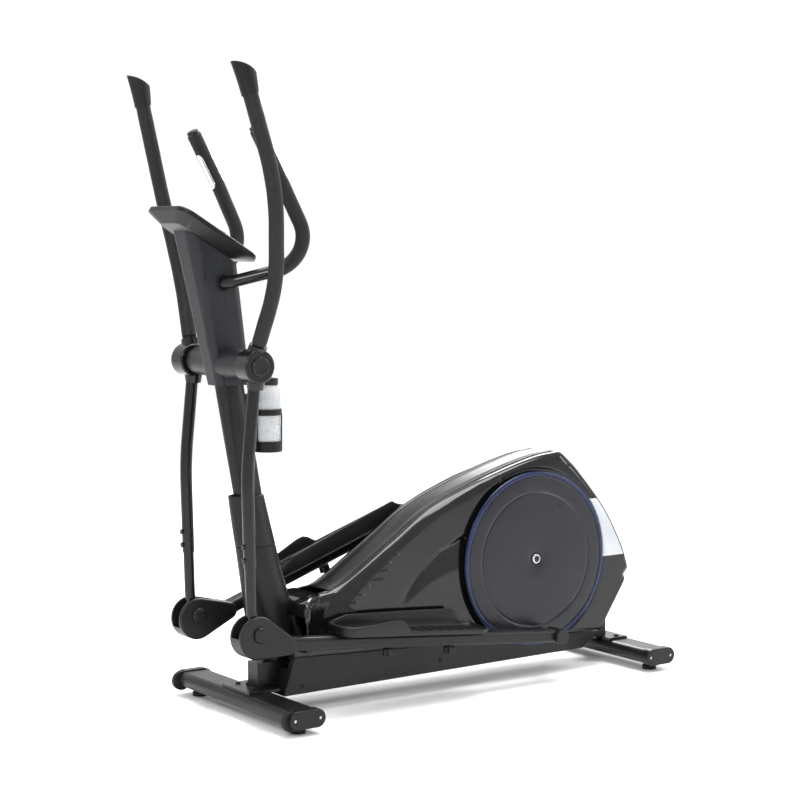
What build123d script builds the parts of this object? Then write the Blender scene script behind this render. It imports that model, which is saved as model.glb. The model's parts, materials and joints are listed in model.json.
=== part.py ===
"""Rear-drive elliptical trainer, built as an assembly of separate parts.

Frame: +X to the rear, +Y to the user's right, +Z up, millimetres.
Origin: on the floor, under the middle of the whole machine's box.
The user stands on the pedals facing -X, so the user's left side is -Y.
"""

from build123d import *
from math import acos, atan2, cos, degrees, radians, sin
import os

os.makedirs("parts", exist_ok=True)

LEFT, RIGHT = -1, 1
SIDES = {"left": LEFT, "right": RIGHT}

# ---------------------------------------------------------------- driving dimensions
# Base. Every X below is measured from halfway between the stabilisers.
MIDDLE_X = 87           # from the machine's middle to halfway between the stabilisers
STAB_X = 618            # each stabiliser's distance from there
FRONT_HALF = 304        # half the front stabiliser's width, cap to cap
REAR_HALF = 243
STAB_DEPTH = 100        # flat-oval tube, along X
STAB_HEIGHT = 42
STAB_Z = 43
STAB_WALL = 2.5
CAP_LENGTH = 28
CAP_GROW = 3            # the moulded cap stands this far proud of the tube
FOOT_INSET = 52         # foot centre, in from the cap's outer face
WHEEL_R = 26
WHEEL_WIDTH = 15
BEAM_WIDTH = 50
BEAM_LOW, BEAM_HIGH = 74, 134
PLATE_T = 7             # mounting plates on the stabilisers
BOLT_Y = 45             # carriage bolts through each plate

# Drive
CRANK_X, CRANK_Z = 272, 340
CRANK_R = 211
DISC_R = 248
DISC_IN, DISC_OUT = 89, 98       # disc faces, measured from the middle plane
RING_WIDTH = 13
PULLEY_R = 150
PULLEY_Y0, PULLEY_Y1 = 42, 58
FLY_X, FLY_Z = -150, 268
FLY_R = 122
FLY_PULLEY_R = 19
BELT_GAP = 0.4
BELT_T = 4
IDLER_R = 20
AXLE_R = 10
FLY_AXLE_R = 8.5

# Mast
MAST_LEAN = 10.5        # degrees towards the front
MAST_FOOT = Vector(-548, 0, 236)
MAST_DEPTH, MAST_WIDTH, MAST_WALL = 80, 50, 2.5
MAST_LENGTH = 957

# Swing arms and pedals
PIVOT_X, PIVOT_Z = -687, 925
KNEE_X, KNEE_Z = -687, 246       # lower pivot, where the pedal arm hangs
ARM_Y = 160
HUB_R = 43
HUB_IN, HUB_OUT = 137, 195
TUBE_R = 16
LEG_R = 14
GRIP_R = 19
SHAFT_R = 10
SHOE_IN, SHOE_OUT = 130, 190
CHEEK = 12
PIN_R = 7
TRAY_IN, TRAY_OUT = 105, 218
TRAY_LENGTH = 477
TRAY_START = 242        # toe end of the tray, measured from the lower pivot
RUNNING = 0.06          # radial clearance of a running fit

# Console
CONSOLE_FRONT = Vector(-846, 0, 1327)
CONSOLE_TILT = 31
CONSOLE_LENGTH, CONSOLE_WIDTH = 256, 206
BEZEL_T = 13            # front shell
BACK_T = 34             # to the underside of the rear shell

# Housing
SIDE_Y = 84             # outer face of the side shells
SHELL_WALL = 3
STRIP_HALF = 45         # half width of the strip along the ridge


# ---------------------------------------------------------------- helpers
def slab(face, y0, y1):
    """Extrude a face drawn in (x, z) from y0 to y1."""
    return Rot(90, 0, 0) * (Pos(0, 0, -y1) * extrude(face, y1 - y0))


def side_slab(face, side, inner, outer):
    """The same, between two distances from the middle plane on one side."""
    low, high = sorted((side * inner, side * outer))
    return slab(face, low, high)


def rod_y(x, z, radius, y0, y1):
    return Pos(x, (y0 + y1) / 2, z) * Rot(90, 0, 0) * Cylinder(radius, abs(y1 - y0))


def rod_z(x, y, radius, z0, z1):
    return Pos(x, y, (z0 + z1) / 2) * Cylinder(radius, z1 - z0)


def block(x0, x1, y0, y1, z0, z1):
    return Pos((x0 + x1) / 2, (y0 + y1) / 2, (z0 + z1) / 2) * Box(x1 - x0, y1 - y0, z1 - z0)


def disc(x, z, radius):
    return Pos(x, z) * Circle(radius)


def sweep_round(path, radius):
    start = path @ 0
    return sweep(Plane(start, z_dir=path % 0) * Circle(radius), path=path)


def tube_along(path, outer, inner):
    return sweep_round(path, outer) - sweep_round(path, inner)


def save(name, *solids):
    """Write one node: the solids stay separate."""
    bodies = [Pos(MIDDLE_X, 0, 0) * solid for item in solids for solid in item.solids()]
    shape = bodies[0] if len(bodies) == 1 else Compound(children=bodies)
    export_step(shape, os.path.join("parts", name + ".step"))


# ---------------------------------------------------------------- geometry worked out from the above
# The crank lies square to the line from its centre to the lower pivots, so both
# pedal arms have the same length with both swing arms hanging straight down.
rise = atan2(CRANK_Z - KNEE_Z, CRANK_X - KNEE_X)
LOW_PIN = Vector(CRANK_X + CRANK_R * sin(rise), 0, CRANK_Z - CRANK_R * cos(rise))
HIGH_PIN = Vector(CRANK_X - CRANK_R * sin(rise), 0, CRANK_Z + CRANK_R * cos(rise))
KNEE = Vector(KNEE_X, 0, KNEE_Z)
ARM_LENGTH = (LOW_PIN - KNEE).length
PIN_OF = {"left": LOW_PIN, "right": HIGH_PIN}

mast_plane = Plane(MAST_FOOT, x_dir=(cos(radians(MAST_LEAN)), 0, sin(radians(MAST_LEAN))),
                   z_dir=(-sin(radians(MAST_LEAN)), 0, cos(radians(MAST_LEAN))))


console = Pos(CONSOLE_FRONT) * Rot(0, CONSOLE_TILT, 0)


# ---------------------------------------------------------------- base
def stabiliser(half, centre_x):
    section = Plane.XZ * SlotOverall(STAB_DEPTH, STAB_HEIGHT)
    bore = Plane.XZ * SlotOverall(STAB_DEPTH - 2 * STAB_WALL, STAB_HEIGHT - 2 * STAB_WALL)
    length = half - CAP_LENGTH
    tube = extrude(section, length, both=True) - extrude(bore, length, both=True)
    for side in (LEFT, RIGHT):
        y = side * (half - FOOT_INSET)
        tube -= Pos(0, y, -STAB_HEIGHT / 2) * Cylinder(4.2, 3 * STAB_WALL)
        tube -= Pos(0, side * BOLT_Y, STAB_HEIGHT / 2) * Cylinder(4.2, 3 * STAB_WALL)
    return Pos(centre_x, 0, STAB_Z) * tube


def stabiliser_cap(side, half, centre_x, notch):
    outline = SlotOverall(STAB_DEPTH + 2 * CAP_GROW, STAB_HEIGHT + 2 * CAP_GROW)
    cap = side_slab(outline, side, half - CAP_LENGTH, half)
    rim = cap.faces().sort_by(Axis.Y)[-1 if side > 0 else 0].edges()
    cap = fillet(rim, 4)
    screw_x = STAB_DEPTH / 2 - 13
    for x in (-screw_x, screw_x):
        cap -= rod_y(x, 0, 4.2, side * (half - 6), side * (half + 1))
    cap = Pos(centre_x, 0, STAB_Z) * cap
    if notch:
        y0, y1 = side * (half - CAP_LENGTH - 1), side * (half - CAP_LENGTH + WHEEL_WIDTH + 3)
        cap -= rod_y(WHEEL_X, WHEEL_Z, WHEEL_R + 2, y0, y1)
    return cap


WHEEL_X = -STAB_X - STAB_DEPTH / 2 + 10
WHEEL_Z = STAB_Z - 3


def cap_screws(side, half, centre_x):
    screw_x = STAB_DEPTH / 2 - 13
    return [rod_y(centre_x + x, STAB_Z, 4, side * (half - 6), side * (half - 2))
            for x in (-screw_x, screw_x)]


def transport_wheel(side):
    y0 = FRONT_HALF - CAP_LENGTH + 1.5
    wheel = rod_y(WHEEL_X, WHEEL_Z, WHEEL_R, side * y0, side * (y0 + WHEEL_WIDTH))
    wheel -= rod_y(WHEEL_X, WHEEL_Z, 4 + RUNNING, side * (y0 - 1), side * (y0 + WHEEL_WIDTH + 1))
    return fillet(wheel.edges().filter_by(GeomType.CIRCLE).group_by(SortBy.RADIUS)[-1], 2)


def wheel_axle(side):
    y0 = FRONT_HALF - CAP_LENGTH
    return rod_y(WHEEL_X, WHEEL_Z, 4, side * y0, side * (y0 + WHEEL_WIDTH + 3))


def levelling_foot(x, y):
    pad = Pos(x, y, 6) * Cylinder(20, 12)
    pad = fillet(pad.edges().group_by(Axis.Z)[-1], 3)
    return pad + rod_z(x, y, 4, 11, STAB_Z - STAB_HEIGHT / 2 + 12)


def main_frame():
    """Base beam with a front post, an end plate on each stabiliser, welded."""
    top = STAB_Z + STAB_HEIGHT / 2
    beam = block(-600, 594, -BEAM_WIDTH / 2, BEAM_WIDTH / 2, BEAM_LOW, BEAM_HIGH)
    beam -= block(-560, 580, -BEAM_WIDTH / 2 + 3, BEAM_WIDTH / 2 - 3, BEAM_LOW + 3, BEAM_HIGH - 3)
    front_plate = block(-STAB_X - 34, -STAB_X + 60, -70, 70, top, top + PLATE_T)
    rear_plate = block(STAB_X - 40, STAB_X + 30, -60, 60, top, top + PLATE_T)
    web = block(-STAB_X + 10, -STAB_X + 60, -22, 22, top, BEAM_LOW + 4)
    rear_web = block(560, 594, -22, 22, top, BEAM_LOW + 4)
    inner_depth, inner_width = MAST_DEPTH / 2 - MAST_WALL - 0.2, MAST_WIDTH / 2 - MAST_WALL - 0.2
    stub = mast_plane * Pos(0, 0, -125) * extrude(Ellipse(inner_depth, inner_width), 235)
    stub -= block(-700, -400, -40, 40, 0, BEAM_HIGH - 1)
    frame = beam + front_plate + rear_plate + web + rear_web + stub
    for x in (-STAB_X, STAB_X):
        for y in (-BOLT_Y, BOLT_Y):
            frame -= rod_z(x, y, 4.2, top - 1, top + PLATE_T + 1)
    return frame


def frame_bolts():
    top = STAB_Z + STAB_HEIGHT / 2
    heads = []
    for x in (-STAB_X, STAB_X):
        for y in (-BOLT_Y, BOLT_Y):
            head = Pos(x, y, top + PLATE_T) * extrude(RegularPolygon(7.5, 6), 5)
            heads.append(head + rod_z(x, y, 4, top - 12, top + PLATE_T + 1))
    return heads


# ---------------------------------------------------------------- drive
def drive_brackets():
    """The crank tower and the two flywheel plates that stand on the beam."""
    tower = block(CRANK_X - 28, CRANK_X + 28, -25, 25, BEAM_HIGH, CRANK_Z)
    tower -= block(CRANK_X - 25, CRANK_X + 25, -22, 22, BEAM_HIGH - 1, CRANK_Z - 36)
    tower += rod_y(CRANK_X, CRANK_Z, 32, -36, 36)
    tower -= rod_y(CRANK_X, CRANK_Z, 26, -37, 37)
    plates = []
    for side in (LEFT, RIGHT):
        foot = Pos(FLY_X, BEAM_HIGH + 1) * Rectangle(130, 2)
        outline = make_hull([*foot.edges(), *disc(FLY_X, FLY_Z, 30).edges()])
        plate = side_slab(outline, side, 20, 25)
        plates.append(plate - rod_y(FLY_X, FLY_Z, 16, side * 19, side * 26))
    return [tower, *plates]


def ring_y(x, z, outer, inner, y0, y1):
    return rod_y(x, z, outer, y0, y1) - rod_y(x, z, inner, y0 - 1, y1 + 1)


def bearings():
    rings = []
    for side in (LEFT, RIGHT):
        low, high = sorted((side * 20, side * 36))
        rings.append(ring_y(CRANK_X, CRANK_Z, 26, AXLE_R + RUNNING, low, high))
        low, high = sorted((side * 19, side * 26))
        rings.append(ring_y(FLY_X, FLY_Z, 16, FLY_AXLE_R + RUNNING, low, high))
    return rings


def crank_arm(side, pin):
    """A flat steel bar from the axle out to the crank pin's socket, inside the disc."""
    ends = [*disc(CRANK_X, CRANK_Z, 24).edges(), *disc(pin.X, pin.Z, 16).edges()]
    bar = side_slab(make_hull(ends), side, DISC_IN - 3, DISC_OUT - 3)
    return bar - rod_y(CRANK_X, CRANK_Z, AXLE_R, side * 80, side * 100)


def crank_disc(side, pin):
    """A dished round cover: flat face, turned-in rim and a shallow step at three quarters."""
    cover = side_slab(disc(CRANK_X, CRANK_Z, DISC_R - RING_WIDTH), side, DISC_IN, DISC_OUT)
    ends = [*disc(CRANK_X, CRANK_Z, 25).edges(), *disc(pin.X, pin.Z, 17).edges()]
    cover -= side_slab(make_hull(ends), side, DISC_IN - 4, DISC_OUT - 2.5)
    hollow = disc(CRANK_X, CRANK_Z, DISC_R - RING_WIDTH - 3) - disc(CRANK_X, CRANK_Z, 50)
    cover -= side_slab(hollow, side, DISC_IN - 1, DISC_OUT - 2.5)
    step = disc(CRANK_X, CRANK_Z, 0.77 * DISC_R + 1) - disc(CRANK_X, CRANK_Z, 0.77 * DISC_R - 1)
    cover -= side_slab(step, side, DISC_OUT - 0.8, DISC_OUT + 1)
    return cover - rod_y(CRANK_X, CRANK_Z, AXLE_R + 5, side * 80, side * 100)


def disc_ring(side):
    ring = disc(CRANK_X, CRANK_Z, DISC_R) - disc(CRANK_X, CRANK_Z, DISC_R - RING_WIDTH)
    body = side_slab(ring, side, DISC_IN, DISC_OUT - 1)
    rim = body.faces().sort_by(Axis.Y)[-1 if side > 0 else 0].edges()
    return chamfer(rim.group_by(SortBy.LENGTH)[-1], 2)


def crank_set():
    """Axle with its two arms and the small domed cap on each end."""
    axle = rod_y(CRANK_X, CRANK_Z, AXLE_R, -DISC_OUT + 3, DISC_OUT - 3)
    arms = [crank_arm(LEFT, LOW_PIN), crank_arm(RIGHT, HIGH_PIN)]
    caps = []
    for side in (LEFT, RIGHT):
        cap = rod_y(CRANK_X, CRANK_Z, AXLE_R + 4.5, side * (DISC_OUT - 3), side * (DISC_OUT + 4))
        rim = cap.faces().sort_by(Axis.Y)[-1 if side > 0 else 0].edges()
        caps.append(fillet(rim, 5))
    return [axle, *arms, *caps]


def flanged_pulley(x, z, radius, bore, y0, y1):
    """A belt pulley with a low flange at each edge."""
    body = ring_y(x, z, radius + 2, bore, y0, y1)
    return body - ring_y(x, z, radius + 3, radius, y0 + 3, y1 - 3)


def drive_pulley():
    """Large belt pulley with six lightening holes."""
    body = flanged_pulley(CRANK_X, CRANK_Z, PULLEY_R, AXLE_R, PULLEY_Y0, PULLEY_Y1)
    for number in range(6):
        angle = radians(60 * number)
        x, z = CRANK_X + 85 * cos(angle), CRANK_Z + 85 * sin(angle)
        body -= rod_y(x, z, 30, PULLEY_Y0 - 1, PULLEY_Y1 + 1)
    return body


def flywheel():
    wheel = ring_y(FLY_X, FLY_Z, FLY_R, FLY_AXLE_R, -14, 14)
    for side in (LEFT, RIGHT):
        dish = ring_y(FLY_X, FLY_Z, FLY_R - 24, 34, *sorted((side * 8, side * 15)))
        wheel -= dish
    axle = rod_y(FLY_X, FLY_Z, FLY_AXLE_R, -34, PULLEY_Y1 + 4)
    small = flanged_pulley(FLY_X, FLY_Z, FLY_PULLEY_R, FLY_AXLE_R, PULLEY_Y0, PULLEY_Y1)
    return [wheel, axle, small]


def belt_outline(grow):
    """Closed loop round both pulleys: two arcs and the two straight runs."""
    big, small = PULLEY_R + grow, FLY_PULLEY_R + grow
    return make_hull([*disc(CRANK_X, CRANK_Z, big).edges(), *disc(FLY_X, FLY_Z, small).edges()])


def drive_belt():
    loop = belt_outline(BELT_GAP + BELT_T) - belt_outline(BELT_GAP)
    return slab(loop, PULLEY_Y0 + 3.5, PULLEY_Y1 - 3.5)


def idler_centre():
    """The idler rides on the back of the belt's lower run."""
    heading = atan2(FLY_Z - CRANK_Z, FLY_X - CRANK_X)
    span = (Vector(FLY_X, FLY_Z) - Vector(CRANK_X, CRANK_Z)).length
    outward = heading + acos((PULLEY_R - FLY_PULLEY_R) / span)
    normal = Vector(cos(outward), sin(outward))
    on_big = Vector(CRANK_X, CRANK_Z) + normal * PULLEY_R
    on_small = Vector(FLY_X, FLY_Z) + normal * FLY_PULLEY_R
    centre = on_big + (on_small - on_big) * 0.7
    return centre + normal * (IDLER_R + BELT_T + 2 * BELT_GAP)


IDLER_X, IDLER_Z = idler_centre().X, idler_centre().Y


def idler_wheel():
    return ring_y(IDLER_X, IDLER_Z, IDLER_R, 5 + RUNNING, PULLEY_Y0, PULLEY_Y1)


def idler_bracket():
    """A plate on the beam that carries the idler's fixed axle."""
    foot = Pos(IDLER_X, BEAM_HIGH + 1) * Rectangle(60, 2)
    plate = slab(make_hull([*foot.edges(), *disc(IDLER_X, IDLER_Z, 9).edges()]), 19, 24)
    return plate + rod_y(IDLER_X, IDLER_Z, 5, 22, PULLEY_Y1 + 2)


BRAKE_X, BRAKE_Z = FLY_X - FLY_R - 30, FLY_Z - 40


def brake_bracket():
    """Curved yoke with magnets that swings towards the flywheel's rim."""
    arc = disc(FLY_X, FLY_Z, FLY_R + 18) - disc(FLY_X, FLY_Z, FLY_R + 13)
    window = Pos(FLY_X - FLY_R, FLY_Z + 30) * Rectangle(150, 130)
    lug = Pos(BRAKE_X + 10, BRAKE_Z + 6) * Rectangle(20, 12) + disc(BRAKE_X, BRAKE_Z, 11)
    yoke = slab(arc & window, -18, 18) + slab(lug, -18, 18)
    yoke -= rod_y(FLY_X, FLY_Z, FLY_R + 12.9, -20, 20)
    yoke -= rod_y(BRAKE_X, BRAKE_Z, 5 + RUNNING, -20, 20)
    magnets = []
    for number in range(4):
        angle = radians(178 - 17 * number)
        reach = FLY_R + 10.3
        place = Pos(FLY_X + reach * cos(angle), 0, FLY_Z + reach * sin(angle))
        magnets.append(place * Rot(0, -degrees(angle), 0) * Box(5, 26, 24))
    return [yoke, *magnets]


def brake_mount():
    """The yoke's pivot pin on two ears that stand on the beam, and its servo."""
    ears = []
    for side in (LEFT, RIGHT):
        foot = Pos(BRAKE_X, BEAM_HIGH + 1) * Rectangle(40, 2)
        outline = make_hull([*foot.edges(), *disc(BRAKE_X, BRAKE_Z, 11).edges()])
        ears.append(side_slab(outline, side, 19, 23))
    pin = rod_y(BRAKE_X, BRAKE_Z, 5, -23, 23)
    servo = block(BRAKE_X - 90, BRAKE_X - 40, -20, 20, BEAM_HIGH, BEAM_HIGH + 44)
    servo += rod_z(BRAKE_X - 60, 0, 8, BEAM_HIGH + 40, BEAM_HIGH + 52)
    return [ears[0] + ears[1] + pin, servo]


# ---------------------------------------------------------------- mast and console
def mast_tube():
    outer = extrude(Ellipse(MAST_DEPTH / 2, MAST_WIDTH / 2), MAST_LENGTH)
    inner = extrude(Ellipse(MAST_DEPTH / 2 - MAST_WALL, MAST_WIDTH / 2 - MAST_WALL), MAST_LENGTH)
    tube = mast_plane * Pos(0, 0, 5) * (outer - inner)
    tube -= rod_y(BAR_X, BAR_Z, BAR_R, -40, 40)
    return tube - rod_y(PIVOT_X, PIVOT_Z, SHAFT_R, -40, 40)


def mast_at(z):
    """The mast's axis at a height."""
    return mast_plane.from_local_coords(Vector(0, 0, (z - MAST_FOOT.Z) / cos(radians(MAST_LEAN))))


def oval_cover(levels, wall):
    """A loft through ovals (height, half depth, half width, shift), hollowed by wall."""
    def skin(less, ends):
        rings = []
        for z, depth, width, shift in levels:
            reach = -ends if z == levels[0][0] else ends if z == levels[-1][0] else 0
            place = Pos(mast_at(z).X + shift, 0, z + reach)
            rings.append(place * Ellipse(depth - less, width - less))
        return loft(rings)
    return skin(0, 0) - skin(wall, 1)


def mast_boot():
    """Two-piece moulded boot: a collar over a flared lower part."""
    collar = oval_cover([(444, 57, 40, -3), (510, 54, 38, -5), (578, 50, 36, -6)], 3)
    flare = oval_cover([(152, 84, 58, 14), (250, 72, 50, 6), (340, 63, 45, 0), (443, 57, 40, -3)], 3)
    beam = block(-640, -300, -31, 31, BEAM_LOW - 10, 180)
    return [collar, flare - beam]


SHROUD_LEVELS = [(868, 50, 37), (1000, 56, 42), (1290, 70, 54)]


def shroud_solid(less, ends):
    """The tapered cover round the mast's head."""
    rings = []
    for z, depth, width in SHROUD_LEVELS:
        reach = -ends if z == SHROUD_LEVELS[0][0] else ends if z == SHROUD_LEVELS[-1][0] else 0
        outline = RectangleRounded(2 * (depth - less), 2 * (width - less), 0.55 * width - less)
        rings.append(Pos(mast_at(z).X, 0, z + reach) * outline)
    return loft(rings)


def shroud_halves():
    """Front and rear shells that meet on a seam down each side."""
    cover = shroud_solid(0, 0)
    for side in (LEFT, RIGHT):
        boss = Rot(-90 * side, 0, 0) * Cone(42, 34, HUB_IN - 26)
        cover += Pos(PIVOT_X + 3, side * (HUB_IN + 14) / 2, PIVOT_Z) * boss
    cover -= shroud_solid(3, 1)
    cover -= console * Pos(100, 0, 100 - BACK_T) * Box(600, 400, 200)
    cover -= rod_y(PIVOT_X, PIVOT_Z, COLLAR_R + 0.5, -HUB_IN, HUB_IN)
    for side in (LEFT, RIGHT):
        cover -= sweep_round(bar_path(side), BAR_R + 1)
    cut = Plane(mast_at(1000) + Vector(8, 0, 0), x_dir=(0, 1, 0), z_dir=mast_plane.x_dir)
    behind = cut * Pos(0, 0, 300) * Box(700, 1200, 600)
    return cover - behind, cover & behind


COLLAR_R = 17


def pivot_shaft():
    shaft = rod_y(PIVOT_X, PIVOT_Z, SHAFT_R, -HUB_OUT + 9, HUB_OUT - 9)
    for side in (LEFT, RIGHT):
        low, high = sorted((side * 29, side * (HUB_IN - 1)))
        shaft += ring_y(PIVOT_X, PIVOT_Z, COLLAR_R, SHAFT_R - 1, low, high)
    return shaft


BAR_R = 16
BAR_GRIP_R = 18.5
BAR_X, BAR_Z = -709, 1130
BAR_BENDS = [(BAR_X, 62, BAR_Z), (-580, 152, 1170), (-528, 167, 1238), (-600, 161, 1380), (-677, 160, 1520)]
BAR_RADII = [60, 90, 80, 200]


def bar_path(side):
    """One side of the bar: out of the mast, round a bend and up to its end."""
    bends = [Vector(x, side * y, z) for x, y, z in BAR_BENDS]
    return FilletPolyline(Vector(BAR_X, 0, BAR_Z), *bends, radius=BAR_RADII)


def fixed_handlebar():
    """One tube: both sides run into each other through the mast."""
    tube = None
    for side in (LEFT, RIGHT):
        half = tube_along(bar_path(side), BAR_R, BAR_R - 2)
        tube = half if tube is None else tube + half
    return tube


def bar_grips():
    """Foam sleeve over the upper part of each side of the fixed bar."""
    sleeves = []
    for side in (LEFT, RIGHT):
        bends = [Vector(x, side * y, z) for x, y, z in BAR_BENDS]
        start = bends[0] + (bends[1] - bends[0]) * 0.72
        path = FilletPolyline(start, *bends[1:4], bends[3] + (bends[4] - bends[3]) * 0.96,
                              radius=BAR_RADII[1:])
        sleeves.append(tube_along(path, BAR_GRIP_R, BAR_R + 0.1))
    return sleeves


def pulse_plates():
    """Two curved metal contacts on each foam sleeve, front and rear."""
    plates = []
    for side in (LEFT, RIGHT):
        low, high = (Vector(x, side * y, z) for x, y, z in BAR_BENDS[3:])
        along = high - low
        plane = Plane(low + along * 0.3, x_dir=(0, 1, 0), z_dir=along)
        length = along.length * 0.36
        ring = plane * (Circle(BAR_GRIP_R + 1.2) - Circle(BAR_GRIP_R + 0.1))
        sleeve = extrude(ring, length)
        for turn in (LEFT, RIGHT):
            keep = plane * Pos(0, turn * 20, length / 2) * Box(24, 40, length)
            plates.append(sleeve & keep)
    return plates


DIAL_AT = 170
DIAL_R = 20
KEY_R = 11
KEY_TRAVEL = 1.5
KEY_Y = {"start": 48, "stop": -48}
SCREEN_SIZE = (92, 128)
SCREEN_AT = 84


def console_plate(grow, low, high):
    plate = RectangleRounded(CONSOLE_LENGTH + 2 * grow, CONSOLE_WIDTH + 2 * grow, 36 + grow)
    return Pos(CONSOLE_LENGTH / 2, 0, low) * extrude(plate, high - low)


def console_bezel():
    """Front shell with the screen's recess, the dial's hole and the key holes."""
    shell = console_plate(0, -BEZEL_T, 0)
    shell = fillet(shell.edges().group_by(Axis.Z)[-1], 5)
    shell -= console_plate(-3, -BEZEL_T - 1, -3)
    shell -= Pos(SCREEN_AT, 0, 0) * Box(*SCREEN_SIZE, 4)
    shell -= Pos(DIAL_AT, 0, 0) * Cylinder(4 + RUNNING, 20)
    for y in KEY_Y.values():
        shell -= Pos(DIAL_AT, y, 0) * Cylinder(KEY_R + 0.3, 20)
    return console * shell


def console_screen():
    return console * Pos(SCREEN_AT, 0, -1.2) * Box(*SCREEN_SIZE, 1.6)


def console_back_solid(less):
    rim = Pos(CONSOLE_LENGTH / 2, 0, -BEZEL_T) * RectangleRounded(
        CONSOLE_LENGTH - 2 * less, CONSOLE_WIDTH - 2 * less, 36 - less)
    foot = Pos(116, 0, -BACK_T) * RectangleRounded(170 - 2 * less, 116 - 2 * less, 26)
    return loft([rim, foot])


def console_back():
    """Rear shell, dished down to the mast's cover."""
    dish = console_back_solid(0)
    core = console_back_solid(3) - Pos(116, 0, -BACK_T) * Box(400, 400, 6)
    return console * (dish - core)


def jog_dial():
    """Turned knob on its own spindle."""
    knob = Pos(DIAL_AT, 0, 14) * Cylinder(DIAL_R, 26)
    knob = fillet(knob.edges().group_by(Axis.Z)[-1], 4)
    for number in range(18):
        angle = radians(20 * number)
        knob -= Pos(DIAL_AT + DIAL_R * cos(angle), DIAL_R * sin(angle), 11) * Cylinder(1.4, 18)
    return console * (knob + Pos(DIAL_AT, 0, -4) * Cylinder(4, 14))


def console_key(name):
    key = Pos(DIAL_AT, KEY_Y[name], -1) * Cylinder(KEY_R, 7)
    return console * fillet(key.edges().group_by(Axis.Z)[-1], 1)


BOTTLE_X, BOTTLE_R = -550, 34
BOTTLE_LOW, BOTTLE_TOP = 692, 862


def bottle():
    body = rod_z(BOTTLE_X, 0, BOTTLE_R, BOTTLE_LOW, BOTTLE_TOP)
    body = fillet(body.edges().group_by(Axis.Z)[0], 6)
    body = chamfer(body.edges().group_by(Axis.Z)[-1], 10)
    body -= rod_z(BOTTLE_X, 0, BOTTLE_R - 4, BOTTLE_LOW + 3, BOTTLE_TOP - 12)
    return body - rod_z(BOTTLE_X, 0, 19, BOTTLE_TOP - 14, BOTTLE_TOP + 1)


def bottle_cap():
    """Screw cap with a pull-up spout."""
    lid = rod_z(BOTTLE_X, 0, 29, BOTTLE_TOP, BOTTLE_TOP + 20)
    lid = fillet(lid.edges().group_by(Axis.Z)[-1], 4)
    lid += rod_z(BOTTLE_X, 0, 18.8, BOTTLE_TOP - 10, BOTTLE_TOP + 1)
    lid += rod_z(BOTTLE_X, 0, 13, BOTTLE_TOP + 19, BOTTLE_TOP + 30)
    return lid + rod_z(BOTTLE_X, 0, 8, BOTTLE_TOP + 29, BOTTLE_TOP + 44)


def bottle_cage():
    """Open cage: a cup at the bottom, a strap at mid height and a spine on the mast."""
    ring = Circle(BOTTLE_R + 3.5) - Circle(BOTTLE_R + 1)
    cup = Pos(BOTTLE_X, 0, BOTTLE_LOW - 4) * extrude(Circle(BOTTLE_R + 3.5) - Circle(14), 3.5)
    cage = cup + Pos(BOTTLE_X, 0, BOTTLE_LOW - 4) * extrude(ring, 28)
    cage += Pos(BOTTLE_X, 0, BOTTLE_LOW + 92) * extrude(ring, 16)
    cage += block(-625, BOTTLE_X - BOTTLE_R, -9, 9, BOTTLE_LOW + 2, BOTTLE_LOW + 150)
    for y in (-22, 22):
        x = BOTTLE_X + 26
        cage += block(x, x + 3, y - 4, y + 4, BOTTLE_LOW, BOTTLE_LOW + 96)
    mast = mast_plane * extrude(Ellipse(MAST_DEPTH / 2 + 0.1, MAST_WIDTH / 2 + 0.1), MAST_LENGTH)
    cage -= mast
    return cage - rod_z(BOTTLE_X, 0, BOTTLE_R + 0.8, BOTTLE_LOW - 0.3, BOTTLE_TOP + 10)


# ---------------------------------------------------------------- swing arms
UPPER_BENDS = [(-684, 166, 952), (-668, 243, 1130), (-700, 296, 1370), (-762, 277, 1598)]
UPPER_RADII = [520, 600]
UPPER_TUBE_R = 15
LOWER_TOP = (-682, 903)
LOWER_BEND = (-707, 655)
LEG_BEND = (-697, 300)
SLEEVE_END = 415
LEG_TOP = 530


def upper_arm(side):
    points = [Vector(x, side * y, z) for x, y, z in UPPER_BENDS]
    return tube_along(FilletPolyline(*points, radius=UPPER_RADII), UPPER_TUBE_R, UPPER_TUBE_R - 2)


def arm_grip(side):
    points = [Vector(x, side * y, z) for x, y, z in UPPER_BENDS]
    points[0] = points[0] + (points[1] - points[0]) * 0.17
    return tube_along(FilletPolyline(*points, radius=UPPER_RADII), GRIP_R, UPPER_TUBE_R + 0.1)


def arm_end_cap(side):
    """Glossy flared cap with its beak to the front."""
    below, end = (Vector(x, side * y, z) for x, y, z in UPPER_BENDS[2:])
    axis = (end - below).normalized()
    plane = Plane(end, x_dir=Vector(1, 0, 0).cross(axis).cross(axis) * -1, z_dir=axis)
    rings = [(-8, 22, 22, 0), (30, 26, 23, 3), (92, 31, 24, 3)]
    body = loft([plane * Pos(shift, 0, height) * Ellipse(depth, width)
                 for height, depth, width, shift in rings])
    top = Plane(end + axis * 61, x_dir=plane.x_dir, z_dir=axis) * Rot(0, 38, 0)
    body &= top * Pos(0, 0, -76) * Sphere(82)
    body -= plane * Pos(0, 0, -10) * Cylinder(GRIP_R + 0.1, 20)
    plug = plane * Pos(0, 0, -8) * Cylinder(UPPER_TUBE_R - 2.1, 20)
    return body + plug


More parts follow.
